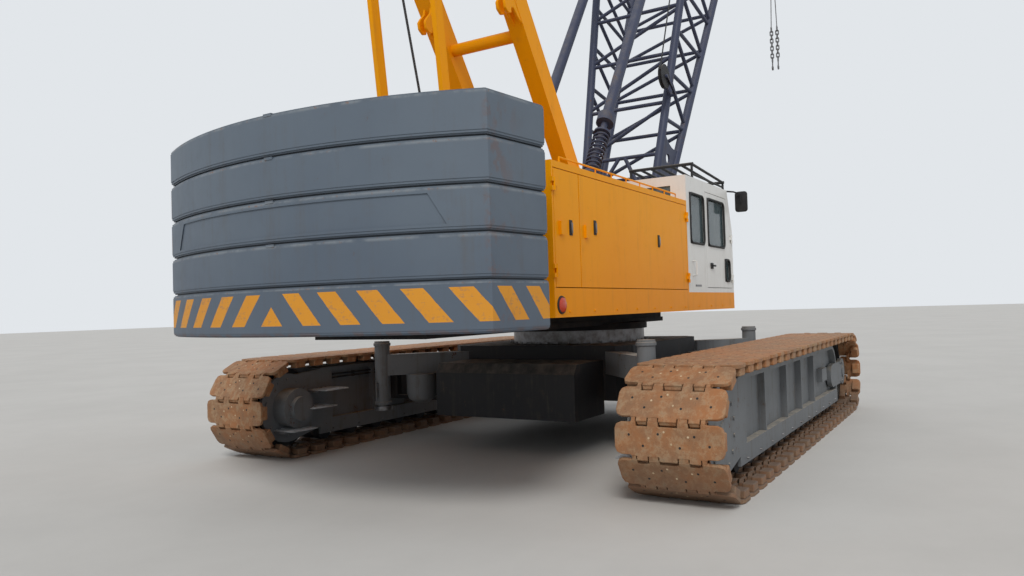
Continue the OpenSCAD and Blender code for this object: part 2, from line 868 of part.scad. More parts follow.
// Window openings: side rear, left side, rear, front
module cab_windows(g) {
    slab([cab_x0 + 120 + g, cab_y0 - e, 2420 + g], [door_x0 - 60 - g, cab_y0 + cab_t + e, 3080 - g]);
    slab([cab_x0 + 150 + g, cab_y1 - cab_t - e, 2300 + g],
        [cab_x1 - cab_lean - 150 - g, cab_y1 + e, 3100 - g]);
    slab([cab_x0 - e, cab_y0 + 200 + g, 3000 + g], [cab_x0 + cab_t + e, cab_y1 - 200 - g, 3160 - g]);
    slab([cab_x1 - cab_lean - 200, cab_y0 + 90 + g, 2000 + g], [cab_x1 + e, cab_y1 - 90 - g, 3120 - g]);
}
module cab_door() {
    color(WHITE)
        placed() {
            for (z = cab_hinge_zs)
                hinge_moving(door_x1, -1, z, 1);
            difference() {
                side_profile(cab_y0 + (cab_t - seat) / 2, cab_t - seat)
                    cab_door_outline(clear);
                slab([door_x0 + 80, cab_y0 - e, 2420], [door_x1 - cab_lean - 90, cab_y0 + cab_t + e, 3080]);
                slab([door_x1 - 330, cab_y0 - e, 1950], [door_x1 - 80, cab_y0 + cab_t + e, 2280]);
            }
        }
}
module cab_glass() {
    color(GLASS)
        placed() {
            slab([cab_x0 + 120 + seat, cab_y0 + 18, 2420 + seat],
                [door_x0 - 60 - seat, cab_y0 + 26, 3080 - seat]);
            slab([cab_x0 + 150 + seat, cab_y1 - 26, 2300 + seat],
                [cab_x1 - cab_lean - 150 - seat, cab_y1 - 18, 3100 - seat]);
            slab([cab_x0 + 18, cab_y0 + 200 + seat, 3000 + seat],
                [cab_x0 + 26, cab_y1 - 200 - seat, 3160 - seat]);
            side_profile((cab_y0 + cab_y1) / 2, cab_w - 180 - 2 * seat)
                polygon([
                    [cab_x1 - 26, 2000 + seat],
                    [cab_x1 - 18, 2000 + seat],
                    [cab_x1 - 18, cab_kink],
                    [cab_front(3120 - seat) - 18, 3120 - seat],
                    [cab_front(3120 - seat) - 26, 3120 - seat],
                    [cab_x1 - 26, cab_kink]
                ]);
        }
}
module cab_seat() {
    color(DARK)
        placed() {
            slab([cab_x0 + 500, cab_y0 + 300, cab_z0 + cab_t + seat],
                [cab_x0 + 980, cab_y1 - 280, cab_z0 + 500]);
            slab([cab_x0 + 420, cab_y0 + 300, cab_z0 + 450], [cab_x0 + 540, cab_y1 - 280, cab_z0 + 1080]);
        }
}
guard_h = 200;
guard_drop = 80;
guard_d = 36;
guard_x0 = cab_x0 + 420;
guard_x1 = cab_x1 - cab_lean - 10;
guard_bars = 7;
guard_y0 = cab_y0 + 50;
guard_y1 = cab_y1 - 50;
function guard_top(x) = cab_top + guard_h - guard_drop * (x - guard_x0) / (guard_x1 - guard_x0);
module roof_guard() {
    color(DARK)
        placed() {
            for (i = [0:guard_bars - 1]) {
                y = mix(guard_y0, guard_y1, i / (guard_bars - 1));
                bar([guard_x0, y, guard_top(guard_x0)], [guard_x1, y, guard_top(guard_x1)], guard_d, 16);
            }
            for (x = [guard_x0, guard_x1]) {
                bar([x, guard_y0 - 20, guard_top(x)], [x, guard_y1 + 20, guard_top(x)], guard_d + 6, 16);
                for (y = [guard_y0, guard_y1])
                    bar([x, y, cab_top + seat], [x, y, guard_top(x)], guard_d - 4, 16);
            }
            bar([guard_x0, guard_y0, cab_top + 70], [guard_x1, guard_y0, cab_top + 50], guard_d - 8, 16);
        }
}

// Counterweight
cw_crease_y = 1800;
cw_crease_x = tail_r - 415;
cw_arc_r = (pow(cw_crease_y, 2) + pow(tail_r - cw_crease_x, 2)) / (2 * (tail_r - cw_crease_x));
cw_turn = atan2(cw_half - cw_crease_y, cw_crease_x - cw_front);
// Outline of a slab, g inside the full size along its arc and its two sides
module cw_outline(g) {
    intersection() {
        translate([cw_arc_r - tail_r, 0])
            circle(r = cw_arc_r - g, $fn = 180);
        polygon([
            [-cw_front, -cw_half + g],
            [-cw_crease_x, -cw_crease_y + g],
            [-tail_r - 100, -cw_crease_y + g + (tail_r + 100 - cw_crease_x) * tan(cw_turn)],
            [-tail_r - 100, cw_crease_y - g - (tail_r + 100 - cw_crease_x) * tan(cw_turn)],
            [-cw_crease_x, cw_crease_y - g],
            [-cw_front, cw_half - g]
        ]);
    }
}
// The steps that make a slab's round edge: how far in and how far below the top, as shares of its radius
edge_steps = [[1, 0], [0.45, 0.17], [0.13, 0.51], [0, 1]];
// A slab as high as h, its edges rounded to r
module cw_slab(h, r) {
    for (s = edge_steps)
        translate([0, 0, s[1] * r])
            linear_extrude(height = h - 2 * s[1] * r)
                cw_outline(s[0] * r);
}

cw_round = 38;
cw_base_round = 30;
module counterweight_base() {
    color(SLATE)
        placed()
            translate([0, 0, cw_z])
                cw_slab(cw_base_h - seat, cw_base_round);
}
// The nameplate's bare recess, on the second slab from below
plate_w = 2760;
plate_slant = 130;
plate_h = 228;
plate_depth = 10;
nub = [60, 90, 22];
module counterweight_slabs() {
    color(SLATE)
        placed()
            for (i = [0:3])
                translate([0, 0, cw_z + cw_base_h + i * cw_slab_h])
                    difference() {
                        union() {
                            cw_slab(cw_slab_h - seat, cw_round);
                            translate([-tail_r, -nub[1] / 2, cw_slab_h - seat - nub[2] - 3])
                                cube(nub);
                        }
                        if (i == 1)
                            plate_recess();
                    }
}
module plate_recess() {
    intersection() {
        translate([cw_arc_r - tail_r, 0, 0])
            difference() {
                cylinder(r = cw_arc_r + 60, h = cw_slab_h, $fn = 180);
                translate([0, 0, -e])
                    cylinder(r = cw_arc_r - plate_depth, h = cw_slab_h + 2 * e, $fn = 180);
            }
        translate([-tail_r - 100, 0, (cw_slab_h - plate_h) / 2])
            rotate([90, 0, 90])
                linear_extrude(height = 800)
                    polygon([
                        [-plate_w / 2 - plate_slant, 0],
                        [plate_w / 2 + plate_slant, 0],
                        [plate_w / 2, plate_h],
                        [-plate_w / 2, plate_h]
                    ]);
    }
}

// Gantry: forked legs on the backstops' pins, links behind them and a head shaft
fork_gap = 116;
leg_solid = 420;
leg_foot = [-stop_foot_x, stop_foot_z];
leg_head = [-gantry_x, gantry_z];
leg_dir = (leg_head - leg_foot) / norm(leg_head - leg_foot);
function leg_point(d, y) = [leg_foot[0] + leg_dir[0] * d, y, leg_foot[1] + leg_dir[1] * d];
leg_len = norm(leg_head - leg_foot);
module gantry_legs() {
    color(YELLOW)
        placed() {
            for (s = sides)
                difference() {
                    side_profile(s * gantry_y, leg_w)
                        difference() {
                            link_profile(leg_foot, leg_head, leg_d, leg_d / 2 + 10, leg_d / 2 + 10);
                            translate(leg_foot)
                                circle(r = 45 + seat, $fn = 48);
                        }
                    flat_bar(leg_point(-leg_d, s * gantry_y), leg_point(leg_solid, s * gantry_y),
                        2 * leg_d, fork_gap);
                }
            for (t = [0.42, 0.78])
                roll(leg_point(t * leg_len, 0), 70, 2 * gantry_y, 32);
            roll(leg_point(leg_len, 0), 60, 2 * gantry_y + leg_w + 40, 32);
        }
}
link_y = 385;
link_t = 50;
link_foot_x = 3300;
link_foot_z = 2280;
module gantry_links() {
    color(YELLOW)
        placed()
            for (s = sides)
                side_profile(s * link_y, link_t)
                    difference() {
                        link_profile([-link_foot_x, link_foot_z], [-gantry_x, gantry_z], 120, 75, 110);
                        translate([-link_foot_x, link_foot_z])
                            circle(r = 35 + seat, $fn = 48);
                        translate([-gantry_x, gantry_z])
                            circle(r = 60 + seat, $fn = 48);
                    }
}
module gantry_sheaves() {
    color(GREY)
        placed()
            for (y = luff_ys)
                difference() {
                    roll([-gantry_x, y, gantry_z], luff_sheave_r, 70, 48);
                    roll([-gantry_x, y, gantry_z], 60 + seat, 72, 32);
                }
}

// Boom, drawn along +Z from its foot pin and then leant forward
module on_boom() {
    placed()
        translate([foot_x, 0, foot_z])
            rotate([0, 90 - boom_angle, 0])
                children();
}
foot_depth = 150;
head_depth = 700;
head_half = 330;
// Half width and half depth of the boom at distance z along it
function boom_half(z) =
    z < butt_len ? mix(foot_half, boom_sec / 2, z / butt_len)
    : z > boom_len - tip_len ? mix(boom_sec / 2, head_half, (z - boom_len + tip_len) / tip_len)
    : boom_sec / 2;
function boom_deep(z) =
    z < butt_len ? mix(foot_depth / 2, boom_sec / 2, z / butt_len)
    : z > boom_len - tip_len ? mix(boom_sec / 2, head_depth / 2, (z - boom_len + tip_len) / tip_len)
    : boom_sec / 2;
function mix(a, b, t) = a + (b - a) * t;
function corner(z, u, v) = [u * boom_deep(z), v * boom_half(z), z];

// Chords and lacing of a boom section: n bays from l0 to l1, and the side faces' zigzag from s0.
// Each tube ends on a chord's axis, lace_gap from the next one's end, so no two tubes touch outside a chord
lace_gap = 50;
module lattice(z0, z1, l0, l1, s0, n) {
    for (u = sides)
        for (v = sides)
            bar(corner(z0 + pin_end_l / 2, u, v), corner(z1 - pin_end_l / 2, u, v), chord_d, 24, 90);
    bay = (l1 - l0) / n;
    for (u = sides) {
        for (i = [0:n])
            bar(corner(l0 + i * bay, u, -1), corner(l0 + i * bay, u, 1), lace_d, 16);
        for (i = [0:n - 1])
            bar(corner(l0 + i * bay + lace_gap, u, 1), corner(l0 + (i + 1) * bay - lace_gap, u, -1),
                lace_d, 16);
    }
    side_bay = (l1 - s0) / n;
    for (v = sides)
        for (i = [0:n - 1]) {
            a = s0 + i * side_bay;
            bar(corner(a + lace_gap, -1, v), corner(a + side_bay / 2 - lace_gap, 1, v), lace_d, 16);
            bar(corner(a + side_bay / 2 + lace_gap, 1, v), corner(a + side_bay - lace_gap, -1, v),
                lace_d, 16);
        }
}
// Straight ends of the chords, where the sections are pinned together
pin_end_l = 210;
pin_end_d = chord_d + 36;
pin_end_gap = 60;
lace_in = pin_end_l + pin_end_gap;
module pin_ends(z) {
    for (u = sides)
        for (v = sides)
            translate([u * boom_deep(z), v * boom_half(z), z])
                cylinder(d = pin_end_d, h = pin_end_l, $fn = 24);
}
module pin_ends_below(z) {
    for (u = sides)
        for (v = sides)
            translate([u * boom_deep(z), v * boom_half(z), z - pin_end_l])
                cylinder(d = pin_end_d, h = pin_end_l - seat, $fn = 24);
}
foot_lattice_z = 230;
// The backstops' upper eyes, on lugs behind the foot section, in the boom's own axes
stop_lead = 9.4;
stop_eye = [-stop_reach * sin(stop_lead), stop_reach * cos(stop_lead)];
stop_eye_w = 90;
cheek_t = 30;
cheek_r = 90;
// Side plates of the foot section lie between its chords and lean out with them
lace_start = 2100;
foot_solid = 900;
foot_plate_t = 30;
foot_plate_top = 2570;
foot_hole_z = 2330;
foot_hole_r = 75;
foot_flare = atan2(boom_sec / 2 - foot_half, butt_len);
module foot_plate(v) {
    w = boom_deep(foot_plate_top);
    sag = 130;
    r = (w * w + sag * sag) / (2 * sag);
    translate([0, v * foot_half, 0])
        rotate([-v * foot_flare, 0, 0])
            side_profile(0, foot_plate_t)
                difference() {
                    polygon([[-boom_deep(400), 400], [boom_deep(400), 400], [w, foot_plate_top],
                        [-w, foot_plate_top]]);
                    translate([0, foot_plate_top - sag + r])
                        circle(r = r, $fn = 96);
                    translate([0, foot_hole_z - sag])
                        circle(r = foot_hole_r, $fn = 48);
                }
}
// Braces from the lowest cross tubes down to the chords
brace_z = 1150;
module foot_braces() {
    for (u = sides)
        for (v = sides)
            bar([u * boom_deep(lace_start), v * lace_gap, lace_start], corner(brace_z, u, v), lace_d, 16);
}
module boom_butt() {
    color(NAVY)
        on_boom() {
            lattice(foot_lattice_z, butt_len, lace_start, butt_len - lace_in, foot_plate_top + 80, 6);
            foot_braces();
            pin_ends_below(butt_len);
            for (v = sides) {
                side_profile(v * foot_half, foot_w)
                    difference() {
                        union() {
                            circle(r = 110, $fn = 48);
                            polygon([[-105, 0], [105, 0], [boom_deep(foot_solid), foot_solid],
                                [-boom_deep(foot_solid), foot_solid]]);
                        }
                        circle(r = 50 + seat, $fn = 48);
                    }
                foot_plate(v);
            }
            roll([-boom_deep(stop_eye[1]), 0, stop_eye[1]], 50, 2 * boom_half(stop_eye[1]), 32);
            for (v = sides)
                for (t = sides)
                    side_profile(v * gantry_y + t * (stop_eye_w / 2 + seat + cheek_t / 2), cheek_t)
                        difference() {
                            link_profile([-boom_deep(stop_eye[1]), stop_eye[1]], stop_eye, 150, 85, cheek_r);
                            translate(stop_eye)
                                circle(r = 40 + seat, $fn = 48);
                        }
        }
}
module boom_middle() {
    color(NAVY)
        on_boom() {
            lattice(butt_len, boom_len - tip_len, butt_len + lace_in, boom_len - tip_len - lace_in,
                butt_len + lace_in, 12);
            pin_ends(butt_len);
            pin_ends_below(boom_len - tip_len);
        }
}
stay_pin = [-300, boom_len - 150];
stay_pin_r = 45;
stay_y = 485;
stay_eye_w = 40;
stay_stub = stay_y + stay_eye_w / 2 + 15 - head_half;
module boom_head() {
    color(NAVY)
        on_boom() {
            lattice(boom_len - tip_len, boom_len - 500, boom_len - tip_len + lace_in, boom_len - 950,
                boom_len - tip_len + lace_in, 7);
            pin_ends(boom_len - tip_len);
            for (v = sides)
                side_profile(v * head_half, 40)
                    polygon([
                        [-head_depth / 2 - 40, boom_len - 900],
                        [-head_depth / 2 - 40, boom_len - 100],
                        [-120, boom_len + 140],
                        [160, boom_len + 140],
                        [head_depth / 2 + 40, boom_len - 300],
                        [head_depth / 2 + 40, boom_len - 900]
                    ]);
            roll([0, 0, boom_len], 60, 2 * head_half, 32);
            for (v = sides)
                roll([stay_pin[0], v * (head_half + stay_stub / 2), stay_pin[1]], stay_pin_r, stay_stub, 32);
        }
}
module head_sheaves() {
    color(GREY)
        on_boom()
            for (y = [-150, -50, 50, 150])
                difference() {
                    roll([0, y, boom_len], head_sheave_r, 60, 64);
                    roll([0, y, boom_len], 60 + seat, 70, 32);
                    difference() {
                        roll([0, y, boom_len], head_sheave_r + e, rope_d + 6, 64);
                        roll([0, y, boom_len], head_sheave_r - groove, rope_d + 8, 64);
                    }
                }
}

// Hoist falls, hook block, hook and sling
fall_ys = [-50, 50];
module hoist_falls() {
    color(DARK)
        placed()
            for (y = fall_ys)
                bar([hook_x, y, block_z + seat], [hook_x, y, head_z], rope_d, 16);
}
block_axle = [hook_x, block_z - block_sheave_r];
block_cheek_y = 120;
block_cheek_t = 25;
block_h = 640;
swivel_h = 170;
module hook_block() {
    color(YELLOW)
        placed() {
            for (y = fall_ys)
                roll([block_axle[0], y, block_axle[1]], block_sheave_r, 70, 48);
            roll([block_axle[0], 0, block_axle[1]], 55, 2 * block_cheek_y + 60, 32);
            for (s = sides)
                side_profile(s * block_cheek_y, block_cheek_t)
                    link_profile(block_axle, [hook_x, block_axle[1] - block_h + 150], 420,
                        block_sheave_r + 15, 180);
            slab([hook_x - 150, -block_cheek_y - 5, block_axle[1] - block_h],
                [hook_x + 150, block_cheek_y + 5, block_axle[1] - block_h + swivel_h]);
        }
}
// The hook: a shank with a bowl open at its rear
hook_d = 90;
bowl_r = 125;
shank_top = block_axle[1] - block_h - seat;
bowl_z = shank_top - 420;
bowl_turn = 245;
module hook() {
    color(DARK)
        placed() {
            bar([hook_x, 0, bowl_z + bowl_r - 10], [hook_x, 0, shank_top], hook_d - 6, 24);
            bar([hook_x, 0, shank_top - 110], [hook_x, 0, shank_top - 20], hook_d + 60, 24);
            translate([hook_x, 0, bowl_z])
                rotate([90, bowl_turn - 90, 0])
                    rotate_extrude(angle = bowl_turn, $fn = 48)
                        translate([bowl_r, 0])
                            circle(d = hook_d, $fn = 24);
        }
}
// The sling: a ring in the bowl, two ropes, and two chains that end in rings
ring_r = 95;
ring_d = 34;
ring_z = bowl_z - bowl_r + hook_d / 2 - ring_r + ring_d / 2 + seat;
chain_top = 9200;
chain_y = 75;
link_l = 150;
link_w = 96;
link_bar = 26;
link_pitch = link_l - 2 * link_bar + 6;
chain_count = floor((chain_top - sling_z - 260) / link_pitch);
eye_r = 60;
module chain_link() {
    x = link_w / 2;
    z = link_l / 2;
    c = link_w / 4;
    difference() {
        polygon([
            [-x, -z + c], [-x + c, -z], [x - c, -z], [x, -z + c],
            [x, z - c], [x - c, z], [-x + c, z], [-x, z - c]
        ]);
        square([link_w - 2 * link_bar, link_l - 2 * link_bar], center = true);
    }
}
module sling() {
    color(STEEL)
        placed() {
            translate([hook_x, 0, ring_z])
                rotate([0, 90, 0])
                    rotate_extrude($fn = 48)
                        translate([ring_r, 0])
                            circle(d = ring_d, $fn = 24);
            for (s = sides) {
                bar([hook_x, s * 25, ring_z - ring_r + 4], [hook_x, s * chain_y, chain_top - 10],
                    rope_d, 12);
                for (i = [0:chain_count - 1])
                    translate([hook_x, s * chain_y, chain_top - link_l / 2 - i * link_pitch])
                        rotate([90, 0, i % 2 == 0 ? 0 : 90])
                            translate([0, 0, -link_bar / 2])
                                linear_extrude(height = link_bar)
                                    chain_link();
                slab([hook_x - 20, s * chain_y - 12, sling_z + 1.8 * eye_r],
                    [hook_x + 20, s * chain_y + 12,
                        chain_top - chain_count * link_pitch - link_l + link_pitch + 10]);
                side_profile(s * chain_y, 30)
                    translate([hook_x, sling_z + eye_r])
                        difference() {
                            circle(r = eye_r, $fn = 32);
                            circle(r = eye_r - 24, $fn = 32);
                        }
            }
        }
}

// Stays from the gantry head to the boom head
stay_a = [-gantry_x, gantry_z];
stay_b = [
    head_x + stay_pin[0] * sin(boom_angle) + (stay_pin[1] - boom_len) * cos(boom_angle),
    head_z - stay_pin[0] * cos(boom_angle) + (stay_pin[1] - boom_len) * sin(boom_angle)
];
stay_dir = (stay_b - stay_a) / norm(stay_b - stay_a);
stay_len = norm(stay_b - stay_a);
function stay_point(d, y, off) = [
    stay_a[0] + stay_dir[0] * d - stay_dir[1] * off,
    y,
    stay_a[1] + stay_dir[1] * d + stay_dir[0] * off
];
bridle_at = 5200;
luff_sheave_r = 250;
luff_ys = [-225, -75, 75, 225];
module luffing_ropes() {
    color(DARK)
        placed()
            for (y = luff_ys)
                for (u = sides)
                    bar(stay_point(0, y, u * (luff_sheave_r + rope_d / 2 + seat)),
                        stay_point(bridle_at, y, u * (luff_sheave_r + rope_d / 2 + seat)), rope_d, 12);
}
module stay_bridle() {
    color(GREY)
        placed() {
            for (y = luff_ys)
                roll(stay_point(bridle_at, y, 0), luff_sheave_r, 70, 48);
            roll(stay_point(bridle_at, 0, 0), 60, 2 * stay_y - stay_eye_w - 2 * seat, 32);
            for (s = sides)
                roll(stay_point(bridle_at, s * (stay_y - stay_eye_w / 2 - seat - 15), 0), 110, 30, 32);
        }
}
module main_stays() {
    color(DARK)
        placed()
            for (s = sides)
                difference() {
                    union() {
                        bar(stay_point(bridle_at, s * stay_y, 0), stay_point(stay_len, s * stay_y, 0),
                            stay_d, 16);
                        roll(stay_point(bridle_at, s * stay_y, 0), 90, stay_eye_w, 32);
                        roll(stay_point(stay_len, s * stay_y, 0), 90, stay_eye_w, 32);
                    }
                    roll(stay_point(stay_len, s * stay_y, 0), stay_pin_r + seat, stay_eye_w + 2 * e, 32);
                }
}

// Backstops
stop_top = [foot_x + stop_reach * cos(boom_angle + stop_lead),
    foot_z + stop_reach * sin(boom_angle + stop_lead)];
stop_base = [-stop_foot_x, stop_foot_z];
stop_rod_d = 90;
stop_len = norm(stop_top - stop_base);
stop_dir = (stop_top - stop_base) / norm(stop_top - stop_base);
function stop_point(d, y) = [stop_base[0] + stop_dir[0] * d, y, stop_base[1] + stop_dir[1] * d];
stop_split = 1600;
stop_collar = 1450;
stop_collar_d = 240;
stop_rod_len = 3600;
stop_neck = 260;
module backstop_rods() {
    color(NAVY)
        placed()
            for (s = sides)
                difference() {
                    union() {
                        bar(stop_point(0, s * gantry_y), stop_point(stop_rod_len, s * gantry_y),
                            stop_rod_d, 24);
                        roll(stop_point(0, s * gantry_y), 85, fork_gap - 2 * clear, 32);
                    }
                    roll(stop_point(0, s * gantry_y), 45 + seat, leg_w, 32);
                }
}
module backstop_tubes() {
    color(NAVY)
        placed()
            for (s = sides) {
                difference() {
                    union() {
                        bar(stop_point(stop_split - 20, s * gantry_y),
                            stop_point(stop_len - stop_neck, s * gantry_y), stop_d, 32);
                        bar(stop_point(stop_collar, s * gantry_y), stop_point(stop_split, s * gantry_y),
                            stop_collar_d, 32);
                    }
                    bar(stop_point(stop_collar - 100, s * gantry_y),
                        stop_point(stop_rod_len + 1900, s * gantry_y),
                        stop_rod_d + 2 * seat, 32);
                }
                bar(stop_point(stop_len - stop_neck - 20, s * gantry_y),
                    stop_point(stop_len, s * gantry_y), 84, 32);
                roll(stop_point(stop_len, s * gantry_y), 75, stop_eye_w, 32);
            }
}

carbody();
axle_beams();
carbody_weights();
swing_bearing();
jack_outriggers();
jack_rod_front_left();
jack_rod_front_right();
jack_rod_rear_left();
jack_rod_rear_right();
track_frame_left();
track_frame_right();
track_left();
track_right();
rollers();
drive_wheels();
idlers();
revolving_frame();
house_left();
house_right();
engine();
winches();
door_rear_right();
door_side_right();
door_side_left();
cab();
cab_door();
cab_glass();
cab_seat();
roof_guard();
counterweight_base();
counterweight_slabs();
gantry_legs();
gantry_links();
gantry_sheaves();
boom_butt();
boom_middle();
boom_head();
head_sheaves();
hoist_falls();
hook_block();
hook();
sling();
luffing_ropes();
stay_bridle();
main_stays();
backstop_rods();
backstop_tubes();
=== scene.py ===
"""Finishes and fittings of a lattice boom crawler crane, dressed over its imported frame."""
import json
import logging
import math
from dataclasses import dataclass
from enum import Enum
from itertools import product
from typing import Callable, Iterable, Optional, Sequence, Union

import bmesh
import bpy
from mathutils import Matrix, Vector


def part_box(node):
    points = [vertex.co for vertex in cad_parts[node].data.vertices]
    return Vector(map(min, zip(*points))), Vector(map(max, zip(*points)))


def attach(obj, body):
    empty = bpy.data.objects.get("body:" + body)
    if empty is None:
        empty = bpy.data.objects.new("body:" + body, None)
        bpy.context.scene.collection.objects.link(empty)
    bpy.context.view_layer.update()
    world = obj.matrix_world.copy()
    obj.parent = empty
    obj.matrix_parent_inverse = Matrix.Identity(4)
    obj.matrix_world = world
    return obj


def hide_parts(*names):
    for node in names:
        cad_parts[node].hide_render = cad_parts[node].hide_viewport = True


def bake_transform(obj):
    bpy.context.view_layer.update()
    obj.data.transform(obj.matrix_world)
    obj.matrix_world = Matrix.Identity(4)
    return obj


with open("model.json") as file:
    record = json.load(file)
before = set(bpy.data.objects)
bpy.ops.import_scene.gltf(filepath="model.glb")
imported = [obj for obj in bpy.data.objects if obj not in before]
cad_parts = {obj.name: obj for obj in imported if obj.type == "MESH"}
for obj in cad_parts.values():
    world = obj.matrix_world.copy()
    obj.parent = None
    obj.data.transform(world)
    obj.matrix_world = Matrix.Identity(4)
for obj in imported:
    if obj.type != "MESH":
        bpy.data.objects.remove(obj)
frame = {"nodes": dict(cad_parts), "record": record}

LOG = logging.getLogger("crane")
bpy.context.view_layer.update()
UP = (0, 0, 1)
ACROSS = Vector((0.0, 1.0, 0.0))
SMOOTH_DEGREES = 32.0

Colour = tuple[float, float, float]
Flat = tuple[float, float]
Point = tuple[float, float, float]
Number = Union[float, "Signal"]


class Body(str, Enum):
    """Bodies of the frame that pieces ride on."""

    LOWER = "lower_works"
    UPPER = "upper_works"
    BOOM = "boom"
    LUFF = "luffing_ropes"
    BRIDLE = "bridle"
    STOP_RODS = "backstop_rods"
    STOP_TUBES = "backstop_tubes"
    REAR_DOOR = "door_rear_right"
    SIDE_DOOR = "door_side_right"
    CAB_DOOR = "cab_door"


class Side(Enum):
    """Sides of the machine, as the sign of Y."""

    LEFT = 1
    RIGHT = -1

    @property
    def word(self) -> str:
        """The side's word in the names of nodes and pieces."""
        return self.name.lower()


def centre_of(node: str) -> Vector:
    """The middle of a frame node's box."""
    low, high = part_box(node)
    return (low + high) / 2


SLEW_X = centre_of("swing_bearing").x


def at(x: float, y: float, z: float) -> Vector:
    """A point given from the slewing axis on the ground."""
    return Vector((SLEW_X + x, y, z))


def circle(radius: float, count: int, first: float = 0.0) -> list[Flat]:
    """Points evenly round a circle.

    Args:
        radius: The circle's radius.
        count: How many points it has.
        first: Where the first one lies, in steps from the first axis.

    Returns:
        Both coordinates of each point, from the circle's middle.
    """
    turns = [math.tau * (i + first) / count for i in range(count)]
    return [(radius * math.cos(turn), radius * math.sin(turn)) for turn in turns]


def corner(x: float, y: float, radius: float, quarter: int, steps: int) -> list[Flat]:
    """A round corner of an outline.

    Args:
        x: First coordinate of the sharp corner.
        y: Its second coordinate.
        radius: Radius of the round corner.
        quarter: 0 for the upper right one, 1 upper left, 2 lower left, 3 lower right.
        steps: Steps of the corner.

    Returns:
        Points along the corner, in the order of the quarters.
    """
    x += radius if quarter in (1, 2) else -radius
    y += radius if quarter in (2, 3) else -radius
    turns = [math.pi / 2 * (quarter + i / steps) for i in range(steps + 1)]
    return [(x + radius * math.cos(turn), y + radius * math.sin(turn)) for turn in turns]


def rounded_outline(x0: float, z0: float, x1: float, z1: float, radius: float) -> list[Flat]:
    """Points round a rectangle with round corners, given its lowest and highest places."""
    sharp = ((x1, z1), (x0, z1), (x0, z0), (x1, z0))
    return [point for quarter, place in enumerate(sharp)
            for point in corner(*place, radius, quarter, 4)]


@dataclass(frozen=True)
class Slant:
    """A leaning line in the machine's middle, and places measured from its foot."""

    foot: Vector
    up: Vector

    @classmethod
    def between(cls, foot: Vector, head: Vector) -> "Slant":
        """The line from one point to another."""
        return cls(foot, (head - foot).normalized())

    def place(self, along: float, behind: float = 0.0, y: float = 0.0) -> Vector:
        """A point so far up the line, so far behind it, at Y."""
        back = self.up.cross(ACROSS)
        return self.foot + self.up * along + back * behind + ACROSS * y


def linear(red: int, green: int, blue: int) -> Colour:
    """A colour for the shader from its values on a screen.

    Args:
        red: Red from 0 to 255.
        green: Green from 0 to 255.
        blue: Blue from 0 to 255.

    Returns:
        The same colour as linear numbers from 0 to 1.
    """

    def one(value: int) -> float:
        """One channel made linear."""
        share = value / 255
        return share / 12.92 if share <= 0.04045 else ((share + 0.055) / 1.055) ** 2.4

    return one(red), one(green), one(blue)


def added(name: str, data: bpy.types.ID) -> bpy.types.Object:
    """A new object of the scene that shows a mesh, a lamp or a camera."""
    thing = bpy.data.objects.new(name, data)
    bpy.context.scene.collection.objects.link(thing)
    return thing


def operator(operation: str, swapped: bool = False) -> Callable[..., "Signal"]:
    """Makes a method that feeds a signal and another value to one Math node.

    Args:
        operation: The node's operation.
        swapped: Whether the other value comes first.

    Returns:
        The method, for a signal.
    """

    def method(self: "Signal", other: Number = 0.0) -> "Signal":
        """Adds the node and returns its result."""
        first, second = (other, self) if swapped else (self, other)
        return self.tree.make("ShaderNodeMath", {"operation": operation}, {0: first, 1: second})

    return method


class Signal:
    """A number that varies over a surface, usable in Python expressions."""

    def __init__(self, tree: "Tree", socket: bpy.types.NodeSocket) -> None:
        """Wraps a socket of a tree."""
        self.tree = tree
        self.socket = socket

    __add__ = __radd__ = operator("ADD")
    __sub__ = operator("SUBTRACT")
    __rsub__ = operator("SUBTRACT", swapped=True)
    __mul__ = __rmul__ = operator("MULTIPLY")
    __mod__ = operator("FLOORED_MODULO")
    __gt__ = operator("GREATER_THAN")
    __lt__ = operator("LESS_THAN")
    __abs__ = operator("ABSOLUTE")
    least = operator("MINIMUM")
    most = operator("MAXIMUM")

    def step(self, low: float, high: float) -> "Signal":
        """A smooth rise from 0 at low to 1 at high."""
        settings = {"interpolation_type": "SMOOTHSTEP"}
        inputs = {0: self, 1: low, 2: high, 3: 0.0, 4: 1.0}
        return self.tree.make("ShaderNodeMapRange", settings, inputs)


class Tree:
    """A node tree, with a short way to add and feed its nodes."""

    def __init__(self, owner: Union[bpy.types.Material, bpy.types.World]) -> None:
        """Empties the tree of a material or a world."""
        owner.use_nodes = True
        self.tree = owner.node_tree
        self.tree.nodes.clear()

    def node(self, kind: str, settings: dict, inputs: dict) -> bpy.types.Node:
        """Adds a node, sets it up and feeds it.

        Args:
            kind: The node's type.
            settings: Properties set before the sockets.
            inputs: Values or signals by the input's name or place.

        Returns:
            The new node.
        """
        node = self.tree.nodes.new(kind)
        for key, value in settings.items():
            setattr(node, key, value)
        for key, value in inputs.items():
            socket = node.inputs[key]
            if isinstance(value, Signal):
                self.tree.links.new(value.socket, socket)
            elif isinstance(value, tuple) and len(value) == 3 and socket.type == "RGBA":
                socket.default_value = (*value, 1.0)
            else:
                socket.default_value = value
        return node

    def make(self, kind: str, settings: dict, inputs: dict, output: Union[int, str] = 0) -> Signal:
        """Adds a node as node() does and returns one of its outputs."""
        return Signal(self, self.node(kind, settings, inputs).outputs[output])


